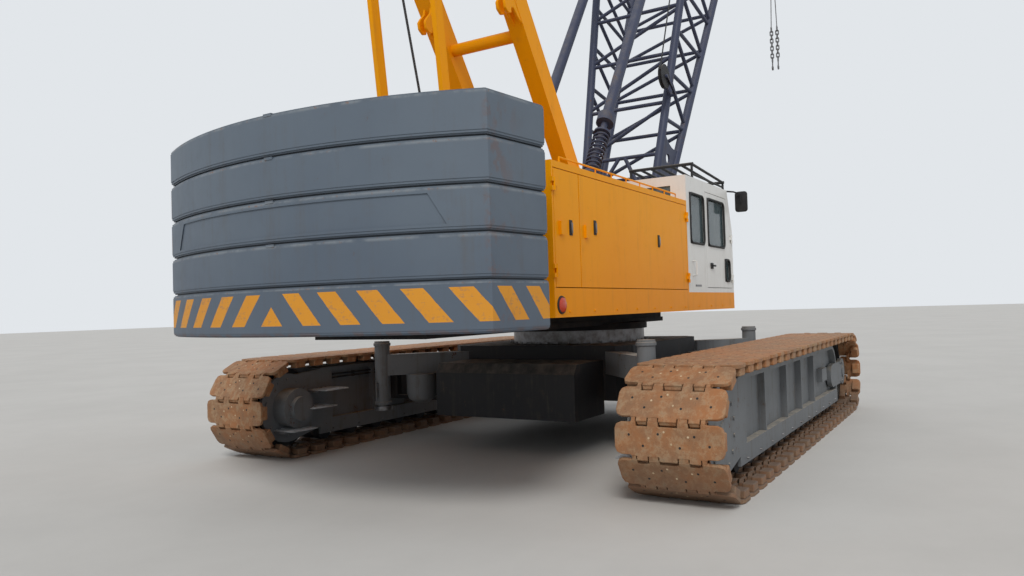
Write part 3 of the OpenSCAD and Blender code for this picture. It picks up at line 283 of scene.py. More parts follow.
class Net(Tree):
    """The node tree of one finish, with short names for the nodes that finishes use."""

    def __init__(self, name: str) -> None:
        """Starts an empty material of this name."""
        self.material = bpy.data.materials.new(name)
        super().__init__(self.material)
        self.place = self.make("ShaderNodeTexCoord", {}, {}, "Object")
        axes = self.node("ShaderNodeSeparateXYZ", {}, {0: self.place})
        self.x, self.y, self.z = (Signal(self, socket) for socket in axes.outputs)

    def stretched(self, *scale: float) -> Signal:
        """The place on the surface, scaled along each axis."""
        return self.make("ShaderNodeMapping", {}, {0: self.place, 3: scale})

    def noise(self, scale: float, detail: float = 3.0, rough: float = 0.55,
              place: Optional[Signal] = None) -> Signal:
        """Soft noise from 0 to 1 with so many patches a metre."""
        inputs = {"Vector": place or self.place, "Scale": scale, "Detail": detail,
                  "Roughness": rough}
        return self.make("ShaderNodeTexNoise", {}, inputs)

    def blend(self, share: Number, first: Union[Colour, Signal],
              second: Union[Colour, Signal]) -> Signal:
        """A colour between two."""
        settings = {"data_type": "RGBA", "blend_type": "MIX", "clamp_factor": True}
        return self.make("ShaderNodeMix", settings, {0: share, 6: first, 7: second}, 2)

    def facing_up(self) -> Signal:
        """How far the surface faces up, from -1 to 1."""
        normal = self.make("ShaderNodeTexCoord", {}, {}, "Normal")
        return self.make("ShaderNodeSeparateXYZ", {}, {0: normal}, 2)

    def bump(self, height: Signal, distance: float, strength: float = 1.0) -> Signal:
        """A normal that follows a height."""
        inputs = {"Strength": strength, "Distance": distance, "Height": height}
        return self.make("ShaderNodeBump", {}, inputs)

    def surface(self, **sockets: Union[float, Colour, Signal]) -> bpy.types.Material:
        """Ends the net in one shader.

        Args:
            sockets: Values or signals by the shader's socket names, with _ for a space.

        Returns:
            The finished material.
        """
        inputs = {key.replace("_", " "): value for key, value in sockets.items()}
        shader = self.make("ShaderNodeBsdfPrincipled", {}, inputs)
        self.node("ShaderNodeOutputMaterial", {}, {0: shader})
        return self.material


@dataclass(frozen=True)
class Paint:
    """Painted steel, paler towards the top as painted light, with random tone, dust and chips."""

    name: str
    colour: Colour
    top_lit_and_mottled: Colour
    grime: Colour = linear(92, 84, 74)
    primer: Colour = linear(96, 62, 44)
    dust_colour: Colour = linear(176, 166, 150)
    roughness: float = 0.42
    fade: float = 0.35
    dirt: float = 0.35
    chips: float = 0.3
    streaks: float = 0.25
    top_light_low: float = 1.6
    top_light_high: float = 3.0
    gloss: float = 0.3
    relief: float = 0.0012

    def coat(self, net: Net) -> tuple[Signal, Signal, Signal]:
        """The paint's colour, roughness and height.

        Args:
            net: The net that the nodes go into.

        Returns:
            Colour, roughness and height as signals.
        """
        cloud = net.noise(0.9, 4.0, 0.6)
        mottled = net.noise(7.0, 4.0, 0.65)
        fine = net.noise(60.0, 2.0, 0.6)
        runs = net.noise(1.0, 5.0, 0.7, net.stretched(9.0, 9.0, 0.55))
        # Painted light: paler towards the top, between two heights; the cloud noise adds random
        # tone.
        sun = (net.z + (cloud - 0.5) * 0.5).step(self.top_light_low, self.top_light_high) * self.fade
        colour = net.blend((sun + (cloud - 0.5) * 0.5).most(0.0), self.colour, self.top_lit_and_mottled)
        colour = net.blend(runs.step(0.52, 0.78) * self.streaks, colour, self.grime)
        colour = net.blend((mottled * runs).step(0.24, 0.5) * self.dirt, colour, self.grime)
        dust = net.facing_up().step(0.3, 0.95) * mottled.step(0.2, 0.75)
        colour = net.blend(dust * self.dirt * 1.6, colour, self.dust_colour)
        start = 0.66 - 0.1 * self.chips
        chip = (mottled * 0.6 + fine * 0.4).step(start, start + 0.03)
        colour = net.blend(chip * min(1.0, 3 * self.chips), colour, self.primer)
        rough = mottled * 0.18 + runs * 0.1 + dust * 0.25 + (self.roughness - 0.12)
        height = fine * 0.3 + mottled * 0.4 - chip * 0.5
        return colour, rough, height

    def marked(self, net: Net, colour: Signal, rough: Signal) -> tuple[Signal, Signal]:
        """Colour and roughness with the marks of this paint; plain paint has none."""
        return colour, rough

    def material(self) -> bpy.types.Material:
        """The finished paint."""
        net = Net(self.name)
        colour, rough, height = self.coat(net)
        colour, rough = self.marked(net, colour, rough)
        return net.surface(Base_Color=colour, Roughness=rough, Specular_IOR_Level=self.gloss,
                           Normal=net.bump(height, self.relief, 0.6))


@dataclass(frozen=True)
class SplitPaint(Paint):
    """Paint with painted shade below a level: dark, with lighter mottles."""

    level: float = 1.562
    dark: Colour = linear(34, 34, 37)
    greasy: Colour = linear(66, 60, 54)

    def marked(self, net: Net, colour: Signal, rough: Signal) -> tuple[Signal, Signal]:
        """Colour and roughness, with painted shade and more roughness below the level."""
        # Painted shade: below the level the paint turns dark, for the shade under the house.
        below = net.z < self.level
        mottled = net.blend(net.noise(3.0, 4.0, 0.65).step(0.4, 0.7) * 0.5, self.dark, self.greasy)
        return net.blend(below, colour, mottled), rough + below * 0.25


@dataclass(frozen=True)
class StripedPaint(Paint):
    """The counterweight's paint, with leaning warning stripes on the base slab."""

    amber: Colour = linear(222, 152, 34)
    worn_amber: Colour = linear(196, 120, 24)
    rust: Colour = linear(112, 74, 52)
    # Colour of the painted shade in the grooves between slabs.
    joint: Colour = linear(40, 44, 50)
    # Colour of the painted highlight, patchy like wear, on the slabs' top edges.
    bare: Colour = linear(150, 156, 160)
    chipped: Colour = linear(130, 84, 54)
    first: float = 0.125
    pitch: float = 0.346
    width: float = 0.170
    lean: float = 0.205
    count: int = 7
    low: float = 1.577
    high: float = 1.828
    wedge: float = 0.12
    crease_x: float = -4.935
    crease_y: float = 1.8
    base_edge: float = 1.5
    slab_low: float = 1.88
    slab_height: float = 0.345

    def stripes(self, net: Net) -> Signal:
        """One on the stripes and the triangle between them, else zero."""
        ragged = (net.noise(14.0, 3.0) - 0.5) * 0.012
        past = (net.x - (SLEW_X + self.crease_x)).most(0.0)
        along = abs(net.y).least(self.crease_y) + past
        lean = (self.high - net.z) * (self.lean / (self.high - self.low))
        across = along - lean - self.first + ragged
        counted = (across > 0.0) * (across < self.count * self.pitch)
        bars = ((across % self.pitch) < self.width) * counted
        wedge = (abs(net.y) + (net.z - self.low) * 0.8 + ragged) < self.wedge
        band = (net.z > self.low) * (net.z < self.high)
        return bars.most(wedge) * band

    def marked(self, net: Net, colour: Signal, rough: Signal) -> tuple[Signal, Signal]:
        """Colour and roughness with stripes, rust, painted shade in the grooves between slabs,
        and a painted highlight, patchy like wear, along each slab's top edge.
        """
        scuffs = net.noise(1.0, 6.0, 0.75, net.stretched(2.0, 2.0, 16.0))
        worn = (scuffs * 0.5 + net.noise(26.0, 4.0, 0.7) * 0.5).step(0.53, 0.6)
        stripe = self.stripes(net) * (1.0 - worn * 0.3)
        amber = net.blend(net.noise(3.0) * 0.5, self.amber, self.worn_amber)
        colour = net.blend(stripe, colour, amber)
        crease = 1.0 - abs(abs(net.y) - self.crease_y).step(0.0, 0.055)
        rust = crease * net.noise(5.0, 4.0, 0.7, net.stretched(1.0, 1.0, 0.7)).step(0.5, 0.62)
        edge = 1.0 - abs(net.z - self.base_edge).step(0.0, 0.035)
        rust = rust.most(edge * net.noise(9.0, 3.0).step(0.42, 0.55))
        colour = net.blend(rust * 0.4, colour, self.rust)
        tall = self.slab_height
        level = (net.z - self.slab_low) % tall
        stacked = net.z > self.slab_low - 0.03
        # Painted shade: the grooves between stacked slabs are darkened.
        groove = (1.0 - level.step(0.004, 0.016)).most(level.step(tall - 0.010, tall - 0.002))
        colour = net.blend(groove * stacked * 0.6, colour, self.joint)
        # Painted highlight: a pale band along each slab's top edge, in patches like wear; chips
        # lie in it.
        rubbed = 1.0 - abs(level - (tall - 0.026)).step(0.0, 0.022)
        rubbed = rubbed * net.noise(4.0, 4.0, 0.7).step(0.35, 0.62) * stacked
        colour = net.blend(rubbed * 0.5, colour, self.bare)
        chipped = rubbed * net.noise(22.0, 3.0, 0.7).step(0.58, 0.66)
        return net.blend(chipped * 0.7, colour, self.chipped), rough


@dataclass(frozen=True)
class RustySteel:
    """Bare cast steel gone brown and orange, paler where it is rubbed."""

    name: str
    base: Colour = linear(140, 106, 78)
    orange: Colour = linear(164, 110, 68)
    worn: Colour = linear(184, 156, 122)
    mud: Colour = linear(104, 88, 76)
    pit: Colour = linear(74, 48, 34)

    def material(self) -> bpy.types.Material:
        """The finished steel."""
        net = Net(self.name)
        cloud = net.noise(2.2, 5.0, 0.65)
        mottled = net.noise(14.0, 5.0, 0.7)
        pits = net.noise(90.0, 3.0, 0.6)
        colour = net.blend(cloud.step(0.36, 0.66), self.base, self.orange)
        colour = net.blend(mottled.step(0.42, 0.72) * 0.7, colour, self.worn)
        low = 1.0 - net.z.step(0.05, 0.55)
        muddy = (low * 0.55 + mottled.step(0.55, 0.75) * 0.4).least(1.0)
        colour = net.blend(muddy, colour, self.mud)
        trodden = net.facing_up().step(0.2, 0.7) * (1.0 - net.z.step(0.12, 0.28))
        colour = net.blend(trodden * 0.8, colour, self.mud)
        colour = net.blend(pits.step(0.6, 0.72) * 0.6, colour, self.pit)
        height = mottled * 0.5 + pits * 0.5
        return net.surface(Base_Color=colour, Roughness=0.62 + mottled * 0.25, Metallic=0.15,
                           Normal=net.bump(height, 0.003, 0.8))


@dataclass(frozen=True)
class PlainStuff:
    """Rubber, plastic, machined steel, cloth or dirt: two close colours and a fine grain."""

    name: str
    colour: Colour
    second: Colour
    roughness: float = 0.6
    metallic: float = 0.0
    grain: float = 120.0
    relief: float = 0.0006

    def material(self) -> bpy.types.Material:
        """The finished stuff."""
        net = Net(self.name)
        mottled = net.noise(9.0, 4.0, 0.65)
        grain = net.noise(self.grain, 2.0, 0.6)
        colour = net.blend(mottled.step(0.35, 0.75), self.colour, self.second)
        rough = mottled * 0.2 + grain * 0.1 + (self.roughness - 0.15)
        return net.surface(Base_Color=colour, Roughness=rough, Metallic=self.metallic,
                           Normal=net.bump(grain, self.relief, 0.7))


@dataclass(frozen=True)
class Rope:
    """Greased wire rope with its strands as slanting bands."""

    name: str
    colour: Colour = linear(44, 46, 50)
    light: Colour = linear(108, 108, 108)
    lay: float = 46.0

    def material(self) -> bpy.types.Material:
        """The finished rope."""
        net = Net(self.name)
        turned = {0: net.place, 2: (0.5, 0.3, 0.2), 3: (1.0, 1.0, 1.0)}
        place = net.make("ShaderNodeMapping", {}, turned)
        strands = net.make("ShaderNodeTexWave", {"bands_direction": "DIAGONAL"},
                           {"Vector": place, "Scale": self.lay, "Distortion": 0.4}, 1)
        colour = net.blend(strands.step(0.35, 0.9) * 0.6, self.colour, self.light)
        return net.surface(Base_Color=colour, Roughness=0.5, Metallic=0.5,
                           Normal=net.bump(strands, 0.003))


@dataclass(frozen=True)
class Glazing:
    """Tinted glass with a little dust."""

    name: str
    tint: Colour = linear(72, 92, 96)
    dust_colour: Colour = linear(150, 156, 154)

    def material(self) -> bpy.types.Material:
        """The finished glass."""
        net = Net(self.name)
        dust = net.noise(6.0, 4.0, 0.7)
        colour = net.blend(dust.step(0.45, 0.8) * 0.35, self.tint, self.dust_colour)
        return net.surface(Base_Color=colour, Roughness=dust * 0.08 + 0.03,
                           Alpha=dust * 0.25 + 0.5, Specular_IOR_Level=0.7)


class Finishes:
    """All finishes, each made once and kept by name for every shape."""

    by_name: dict[str, bpy.types.Material] = {}
    own_finish = {"jack_outriggers": "grey_paint", "revolving_frame": "frame_paint"}

    @classmethod
    def make(cls) -> None:
        """Makes the materials."""
        orange = {"colour": linear(240, 150, 0), "top_lit_and_mottled": linear(248, 166, 10), "roughness": 0.36,
                  "dirt": 0.08, "chips": 0.12, "streaks": 0.10, "fade": 0.75, "gloss": 0.08}
        makers = (
            Paint("yellow_paint", **orange),
            SplitPaint("frame_paint", **orange),
            StripedPaint("slate_paint", linear(84, 96, 110), linear(112, 124, 134),
                         roughness=0.55, dirt=0.2, chips=0.1, streaks=0.22, fade=0.3,
                         gloss=0.5, relief=0.0015),
            Paint("grey_paint", linear(110, 113, 116), linear(134, 137, 138), roughness=0.6,
                  dirt=0.55, chips=0.4, streaks=0.5, fade=0.2, top_light_low=0.2, top_light_high=1.0),
            Paint("boom_paint", linear(60, 66, 88), linear(88, 95, 114), roughness=0.5,
                  dirt=0.3, chips=0.35, streaks=0.2, fade=0.4, top_light_low=2.0, top_light_high=20.0),
            Paint("white_paint", linear(222, 222, 218), linear(232, 232, 230),
                  grime=linear(150, 140, 122), roughness=0.34, dirt=0.16, chips=0.15,
                  streaks=0.12),
            Paint("dark_paint", linear(34, 35, 38), linear(58, 58, 60), roughness=0.6, dirt=0.4,
                  chips=0.2, streaks=0.3, top_light_low=0.2, top_light_high=1.2),
            RustySteel("shoe_steel"),
            PlainStuff("bright_steel", linear(128, 128, 130), linear(92, 88, 84), 0.4, 0.7),
            PlainStuff("rubber", linear(26, 26, 28), linear(46, 44, 42), 0.7),
            PlainStuff("tread_grey", linear(182, 186, 190), linear(140, 142, 142), 0.7),
            # Pale discs on the shoes.
            PlainStuff("pale_spots", linear(206, 186, 154), linear(180, 154, 120), 0.9),
            PlainStuff("seat_cloth", linear(34, 35, 38), linear(52, 52, 54), 0.9,
                       grain=420.0, relief=0.002),
            PlainStuff("lamp_red", linear(206, 62, 36), linear(180, 74, 52), 0.25),
            Rope("rope_steel"),
            Glazing("cab_glazing"),
        )
        cls.by_name.update((maker.name, maker.material()) for maker in makers)

    @classmethod
    def dress_nodes(cls) -> None:
        """Gives every frame node its own finish here, or else the one that its record names."""
        slots = {part["node"]: part["material_slot"] for part in frame["record"]["subparts"]}
        slots.update(cls.own_finish)
        for name, piece in frame["nodes"].items():
            piece.data.materials.clear()
            piece.data.materials.append(cls.by_name[slots[name]])
            LOG.info("node %s: %s", name, slots[name])


class Shape:
    """A mesh under construction, made from bmesh operators."""

    def __init__(self) -> None:
        """Starts an empty mesh."""
        self.mesh = bmesh.new()
        self.finish = 0

    def keep(self, verts: Iterable[bmesh.types.BMVert]) -> None:
        """Marks the faces of new vertices with the finish in hand."""
        for face in {face for vert in verts for face in vert.link_faces}:
            face.material_index = self.finish

    def block(self, low: Sequence[float], high: Sequence[float], bevel: float = 0.0,
              segments: int = 2) -> None:
        """A box between two corners.

        Args:
            low: One of its corners.
            high: The corner across from it.
            bevel: Radius of its edges.
            segments: Steps of each rounded edge.
        """
        middle = (Vector(low) + Vector(high)) / 2
        size = [abs(b - a) for a, b in zip(low, high)]
        matrix = Matrix.Translation(middle) @ Matrix.Diagonal((*size, 1.0))
        verts = bmesh.ops.create_cube(self.mesh, size=1.0, matrix=matrix)["verts"]
        self.keep(self.rounded(verts, bevel, segments))

    def blocks(self, table: Iterable[tuple], shift: Point = (0.0, 0.0, 0.0)) -> None:
        """Boxes from rows of two corners and a bevel, from the slewing axis, all moved on."""
        for low, high, bevel in table:
            self.block(at(*low) + Vector(shift), at(*high) + Vector(shift), bevel)

    def rounded(self, verts: list[bmesh.types.BMVert], bevel: float,
                segments: int) -> list[bmesh.types.BMVert]:
        """Rounds every edge between some vertices.

        Args:
            verts: The vertices.
            bevel: Radius of the edges; at zero nothing changes.
            segments: Steps of each rounded edge.

        Returns:
            The vertices that are there afterwards.
        """
        if not bevel:
            return verts
        edges = list({edge for vert in verts for edge in vert.link_edges})
        made = bmesh.ops.bevel(self.mesh, geom=edges, offset=bevel, offset_type="OFFSET",
                               segments=segments, profile=0.5, affect="EDGES", material=-1,
                               clamp_overlap=True)
        alive = {vert for vert in made["verts"] if vert.is_valid}
        alive.update(vert for face in made["faces"] if face.is_valid for vert in face.verts)
        alive.update(vert for face in list(made["faces"]) for edge in face.edges
                     for near in edge.link_faces for vert in near.verts)
        return list(alive)

    def rod(self, start: Sequence[float], end: Sequence[float], radius: float, sides: int = 16,
            end_radius: Optional[float] = None) -> None:
        """A round bar between two points, tapered if its end has another radius."""
        start, end = Vector(start), Vector(end)
        line = end - start
        turn = line.to_track_quat("Z", "Y").to_matrix().to_4x4()
        made = bmesh.ops.create_cone(self.mesh, cap_ends=True, segments=sides, radius1=radius,
                                     radius2=radius if end_radius is None else end_radius,
                                     depth=line.length,
                                     matrix=Matrix.Translation((start + end) / 2) @ turn)
        self.keep(made["verts"])

    def studs(self, places: Iterable[Flat], y0: float, y1: float, radius: float, sides: int = 6,
              end_radius: Optional[float] = None) -> None:
        """A round bar along Y at each X and Z, from the slewing axis."""
        for x, z in places:
            self.rod(at(x, y0, z), at(x, y1, z), radius, sides, end_radius)

    def plate(self, outline: Sequence[Flat], place: Matrix, thickness: float,
              bevel: float = 0.0, segments: int = 2) -> None:
        """A flat outline given a thickness.

        Args:
            outline: Its corners in the plate's own plane.
            place: Puts the plate's plane and its normal in space.
            thickness: How far it is extruded along its normal.
            bevel: Radius of its edges.
            segments: Steps of each rounded edge.
        """
        verts = [self.mesh.verts.new((x, y, 0.0)) for x, y in outline]
        face = self.mesh.faces.new(verts)
        made = bmesh.ops.extrude_face_region(self.mesh, geom=[face])["geom"]
        moved = [item for item in made if isinstance(item, bmesh.types.BMVert)]
        bmesh.ops.translate(self.mesh, verts=moved, vec=(0.0, 0.0, thickness))
        verts = self.rounded(verts + moved, bevel, segments)
        bmesh.ops.transform(self.mesh, matrix=place, verts=verts)
        self.keep(verts)

    def turned(self, profile: Sequence[Flat], centre: Sequence[float], axis: Sequence[float],
               steps: int = 32) -> None:
        """A profile spun fully round an axis.

        Args:
            profile: Points as radius and height; it closes itself if it stays off the axis.
            centre: Where height is zero on the axis.
            axis: The axis's direction.
            steps: Steps of the full turn.
        """
        old = set(self.mesh.verts)
        verts = [self.mesh.verts.new((radius, 0.0, height)) for radius, height in profile]
        edges = [self.mesh.edges.new(pair) for pair in zip(verts, verts[1:])]
        if profile[0][0] and profile[-1][0] and profile[0] != profile[-1]:
            edges.append(self.mesh.edges.new((verts[-1], verts[0])))
        bmesh.ops.spin(self.mesh, geom=verts + edges, cent=(0, 0, 0), axis=UP, angle=math.tau,
                       steps=steps, use_merge=True)
        fresh = [vert for vert in self.mesh.verts if vert not in old]
        bmesh.ops.remove_doubles(self.mesh, verts=fresh, dist=1e-6)
        fresh = [vert for vert in self.mesh.verts if vert not in old]
        turn = Vector(axis).to_track_quat("Z", "Y").to_matrix().to_4x4()
        bmesh.ops.transform(self.mesh, matrix=Matrix.Translation(Vector(centre)) @ turn,
                            verts=fresh)
        self.keep(fresh)

    def tube(self, path: Sequence[Sequence[float]], radius: float, sides: int = 8,
             closed: bool = False) -> None:
        """A round tube swept along a path.

        Args:
            path: Points on the tube's centre line.
            radius: Its radius.
            sides: Sides of its section.
            closed: Whether the path's end joins its start.
        """
        points = [Vector(point) for point in path]
        count = len(points)
        rings: list[list[bmesh.types.BMVert]] = []
        lift = Vector(UP)
        for i, point in enumerate(points):
            back = points[(i - 1) % count] if closed or i else point
            fore = points[(i + 1) % count] if closed or i < count - 1 else point
            along = (fore - back).normalized()
            if abs(along.dot(lift)) > 0.98:
                lift = Vector((1.0, 0.0, 0.0))
            side = along.cross(lift).normalized()
            lift = side.cross(along).normalized()
            place = Matrix.Translation(point) @ Matrix((side, lift, along)).transposed().to_4x4()
            rings.append(bmesh.ops.create_circle(self.mesh, cap_ends=False, segments=sides,
                                                 radius=radius, matrix=place)["verts"])
        first, last = rings[0], rings[-1]
        if closed:
            shift = min(range(sides), key=lambda n: (last[0].co - first[n].co).length)
            rings.append([first[(j + shift) % sides] for j in range(sides)])
        else:
            self.mesh.faces.new(list(reversed(first)))
            self.mesh.faces.new(last)
        for ring, following in zip(rings, rings[1:]):
            for j in range(sides):
                k = (j + 1) % sides
                self.mesh.faces.new((ring[j], ring[k], following[k], following[j]))
        self.keep(vert for ring in rings for vert in ring)

    def copies(self, places: Iterable[Matrix]) -> "Shape":
        """A new shape with this one at each place."""
        whole = Shape()
        part = bpy.data.meshes.new("part")
        self.mesh.to_mesh(part)
        for place in places:
            start = len(whole.mesh.verts)
            whole.mesh.from_mesh(part)
            whole.mesh.verts.ensure_lookup_table()
            bmesh.ops.transform(whole.mesh, matrix=place, verts=whole.mesh.verts[start:])
        bpy.data.meshes.remove(part)
        return whole

    def piece(self, name: str, body: Body, *finishes: str, slot: str = "",
              free: bool = False) -> bpy.types.Object:
        """Turns the shape into a piece that rides on a body.

        Args:
            name: The piece's name.
            body: The body that it moves with.
            finishes: The names of its finishes, by the shape's finish numbers.
            slot: The record's material slot, if it isn't the first finish. Not used.
            free: Whether it's left without a body.

        Returns:
            The finished object.
        """
        bmesh.ops.recalc_face_normals(self.mesh, faces=self.mesh.faces)
        for face in self.mesh.faces:
            face.smooth = True
        mesh = bpy.data.meshes.new(name)
        self.mesh.to_mesh(mesh)
        self.mesh.free()
        mesh.set_sharp_from_angle(angle=math.radians(SMOOTH_DEGREES))
        for finish in finishes:
            mesh.materials.append(Finishes.by_name[finish])
        piece = added(name, mesh)
        if not free:
            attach(piece, body.value)
        slot or finishes[0]
        LOG.info("piece %s on %s: %d faces", name, body.value, len(mesh.polygons))
        return piece


@dataclass
class Track:
    """One track's loop of cast shoes, joined by knuckles on pins.

    Places and sizes across a shoe are from its middle. The tables' columns are:
    knuckles and pads, place and width across; hole shades and spots, place across and along.
    The hole shades are dark discs of painted shade in the holes.
    """

    side: Side
    width: float = 0.914
    wheel_base: float = 6.17
    pin_radius: float = 0.515
    thickness: float = 0.060
    count: int = 54
    end_share: float = 0.925
    plate_gap: float = 0.003
    plate_t: float = 0.034
    finger_reach: float = 0.034
    middle_half: float = 0.318
    corner_radius: float = 0.055
    knuckle_radius: float = 0.045
    knuckle_level: float = 0.012
    knuckle_low: float = -0.030
    knuckle_start: float = 0.04
    inset: float = 0.006
    pad_half: float = 0.075
    pad_low: float = -0.042
    pad_high: float = 0.03
    spot_lift: float = 0.0006
    fore_knuckles: tuple = ((-0.22, 0.09), (0.0, 0.15), (0.22, 0.09))
    aft_knuckles: tuple = ((-0.292, 0.045), (-0.125, 0.09), (0.125, 0.09), (0.292, 0.045))
    pads: tuple = ((-0.40, 0.10), (-0.13, 0.07), (0.13, 0.07), (0.40, 0.10))
    # Dark discs at the holes, as painted shade.
    holes: tuple = ((-0.33, -0.03), (-0.21, 0.055), (-0.08, -0.045), (0.10, 0.055),
                    (0.22, -0.04), (0.34, 0.03))
    spots: tuple = ((-0.16, -0.01), (0.03, 0.03), (0.17, -0.035), (-0.03, -0.065))

    def loop_length(self) -> float:
        """Length of the line through the pins."""
        return 2 * self.wheel_base + math.tau * self.pin_radius

    def on_loop(self, distance: float) -> Flat:
        """A point on the line through the pins, from the middle of the track.

        Args:
            distance: How far along the loop it lies, from the rear end of the lower run.

        Returns:
            Its place along and up.
        """
        half, radius = self.wheel_base / 2, self.pin_radius
        upper, past = divmod(distance % self.loop_length(), self.loop_length() / 2)
        sign = -1 if upper else 1
        if past < self.wheel_base:
            return sign * (past - half), -sign * radius
        turn = (past - self.wheel_base) / radius - math.pi / 2
        return sign * (half + radius * math.cos(turn)), sign * radius * math.sin(turn)

    def first_pin(self, pitch: float) -> float:
        """Where on the loop the first pin lies, so that one shoe stands upright behind."""
        upright = self.loop_length() - math.pi * self.pin_radius / 2
        return (upright + pitch / 2) % pitch

    def shoe(self, pitch: float) -> Shape:
        """One shoe: along X from pin to pin, across Y, outwards along Z.

        Args:
            pitch: Distance between its pins.

        Returns:
            The shoe's shape.
        """
        shape = Shape()
        under = Matrix.Translation((0, 0, self.thickness - self.plate_t))
        shape.plate(self.plate_outline(pitch), under, self.plate_t, 0.005, 1)
        top, level = self.thickness - self.inset, self.knuckle_level
        for end, knuckles in ((1, self.fore_knuckles), (-1, self.aft_knuckles)):
            start, tip = end * self.knuckle_start, end * pitch / 2
            for place, width in knuckles:
                y0, y1 = place - width / 2 + self.inset, place + width / 2 - self.inset
                shape.block((start, y0, self.knuckle_low), (tip, y1, top))
                shape.rod((tip, y0, level), (tip, y1, level), self.knuckle_radius, 10)
        for place, width in self.pads:
            y0, y1 = place - width / 2, place + width / 2
            low, high = (-self.pad_half, y0, self.pad_low), (self.pad_half, y1, self.pad_high)
            shape.block(low, high, 0.008, 1)
        # Finish 1, rubber, draws the holes as dark discs of painted shade; finish 2 the pale
        # spots.
        for finish, spots, radius in ((1, self.holes, 0.011), (2, self.spots, 0.009)):
            shape.finish = finish
            for y, x in spots:
                shape.rod((x, y, top), (x, y, self.thickness + self.spot_lift), radius, 8)
        return shape

    def plate_outline(self, pitch: float) -> list[Flat]:
        """A shoe's plate: fingers ahead, and notches behind for the next shoe's fingers.

        Args:
            pitch: Distance between the shoe's pins.

        Returns:
            Points round the plate.
        """
        short, full, wide = pitch * self.end_share / 2, pitch / 2 - self.plate_gap, self.width / 2
        slack, middle = self.plate_gap * 2, self.middle_half
        tip, root = full + self.finger_reach, self.finger_reach + slack - full
        fingers, notches = [], []
        for place, width in self.fore_knuckles:
            y0, y1 = place - width / 2, place + width / 2
            fingers += [(full, y0), (tip, y0), (tip, y1), (full, y1)]
            y0, y1 = y0 - slack, y1 + slack
            notches += [(-full, y0), (root, y0), (root, y1), (-full, y1)]
        ahead = [(short, -middle), (full, -middle), *fingers, (full, middle), (short, middle)]
        behind = [(-short, middle), (-full, middle), *notches[::-1], (-full, -middle),
                  (-short, -middle)]
        right_low, right, left, left_low = (
            corner(x, y, self.corner_radius, quarter, 2) for quarter, x, y in
            ((3, short, -wide), (0, short, wide), (1, -short, wide), (2, -short, -wide)))
        return right_low + ahead + right + left + behind + left_low

    def build(self) -> None:
        """Makes the loop and puts it in the place of its node."""
        node = f"track_{self.side.word}"
        middle = centre_of(node)
        middle.z = self.pin_radius + self.thickness
        pitch = self.loop_length() / self.count
        first = self.first_pin(pitch)
        pins = [self.on_loop(first + i * pitch) for i in range(self.count + 1)]
        chord = sum(math.dist(a, b) for a, b in zip(pins, pins[1:])) / self.count
        places = []
        for (ax, az), (bx, bz) in zip(pins, pins[1:]):
            along = Vector((bx - ax, 0.0, bz - az)).normalized()
            out = Vector((along.z, 0.0, -along.x))
            turn = Matrix((along, out.cross(along), out)).transposed().to_4x4()
            halfway = middle + Vector(((ax + bx) / 2, 0.0, (az + bz) / 2))
            places.append(Matrix.Translation(halfway) @ turn)
        whole = self.shoe(chord).copies(places)
        # The second finish, rubber, is the painted shade in the shoes' holes.
        piece = whole.piece(f"shoes_{self.side.word}", Body.LOWER, "shoe_steel", "rubber",
                            "pale_spots")
        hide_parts(node)


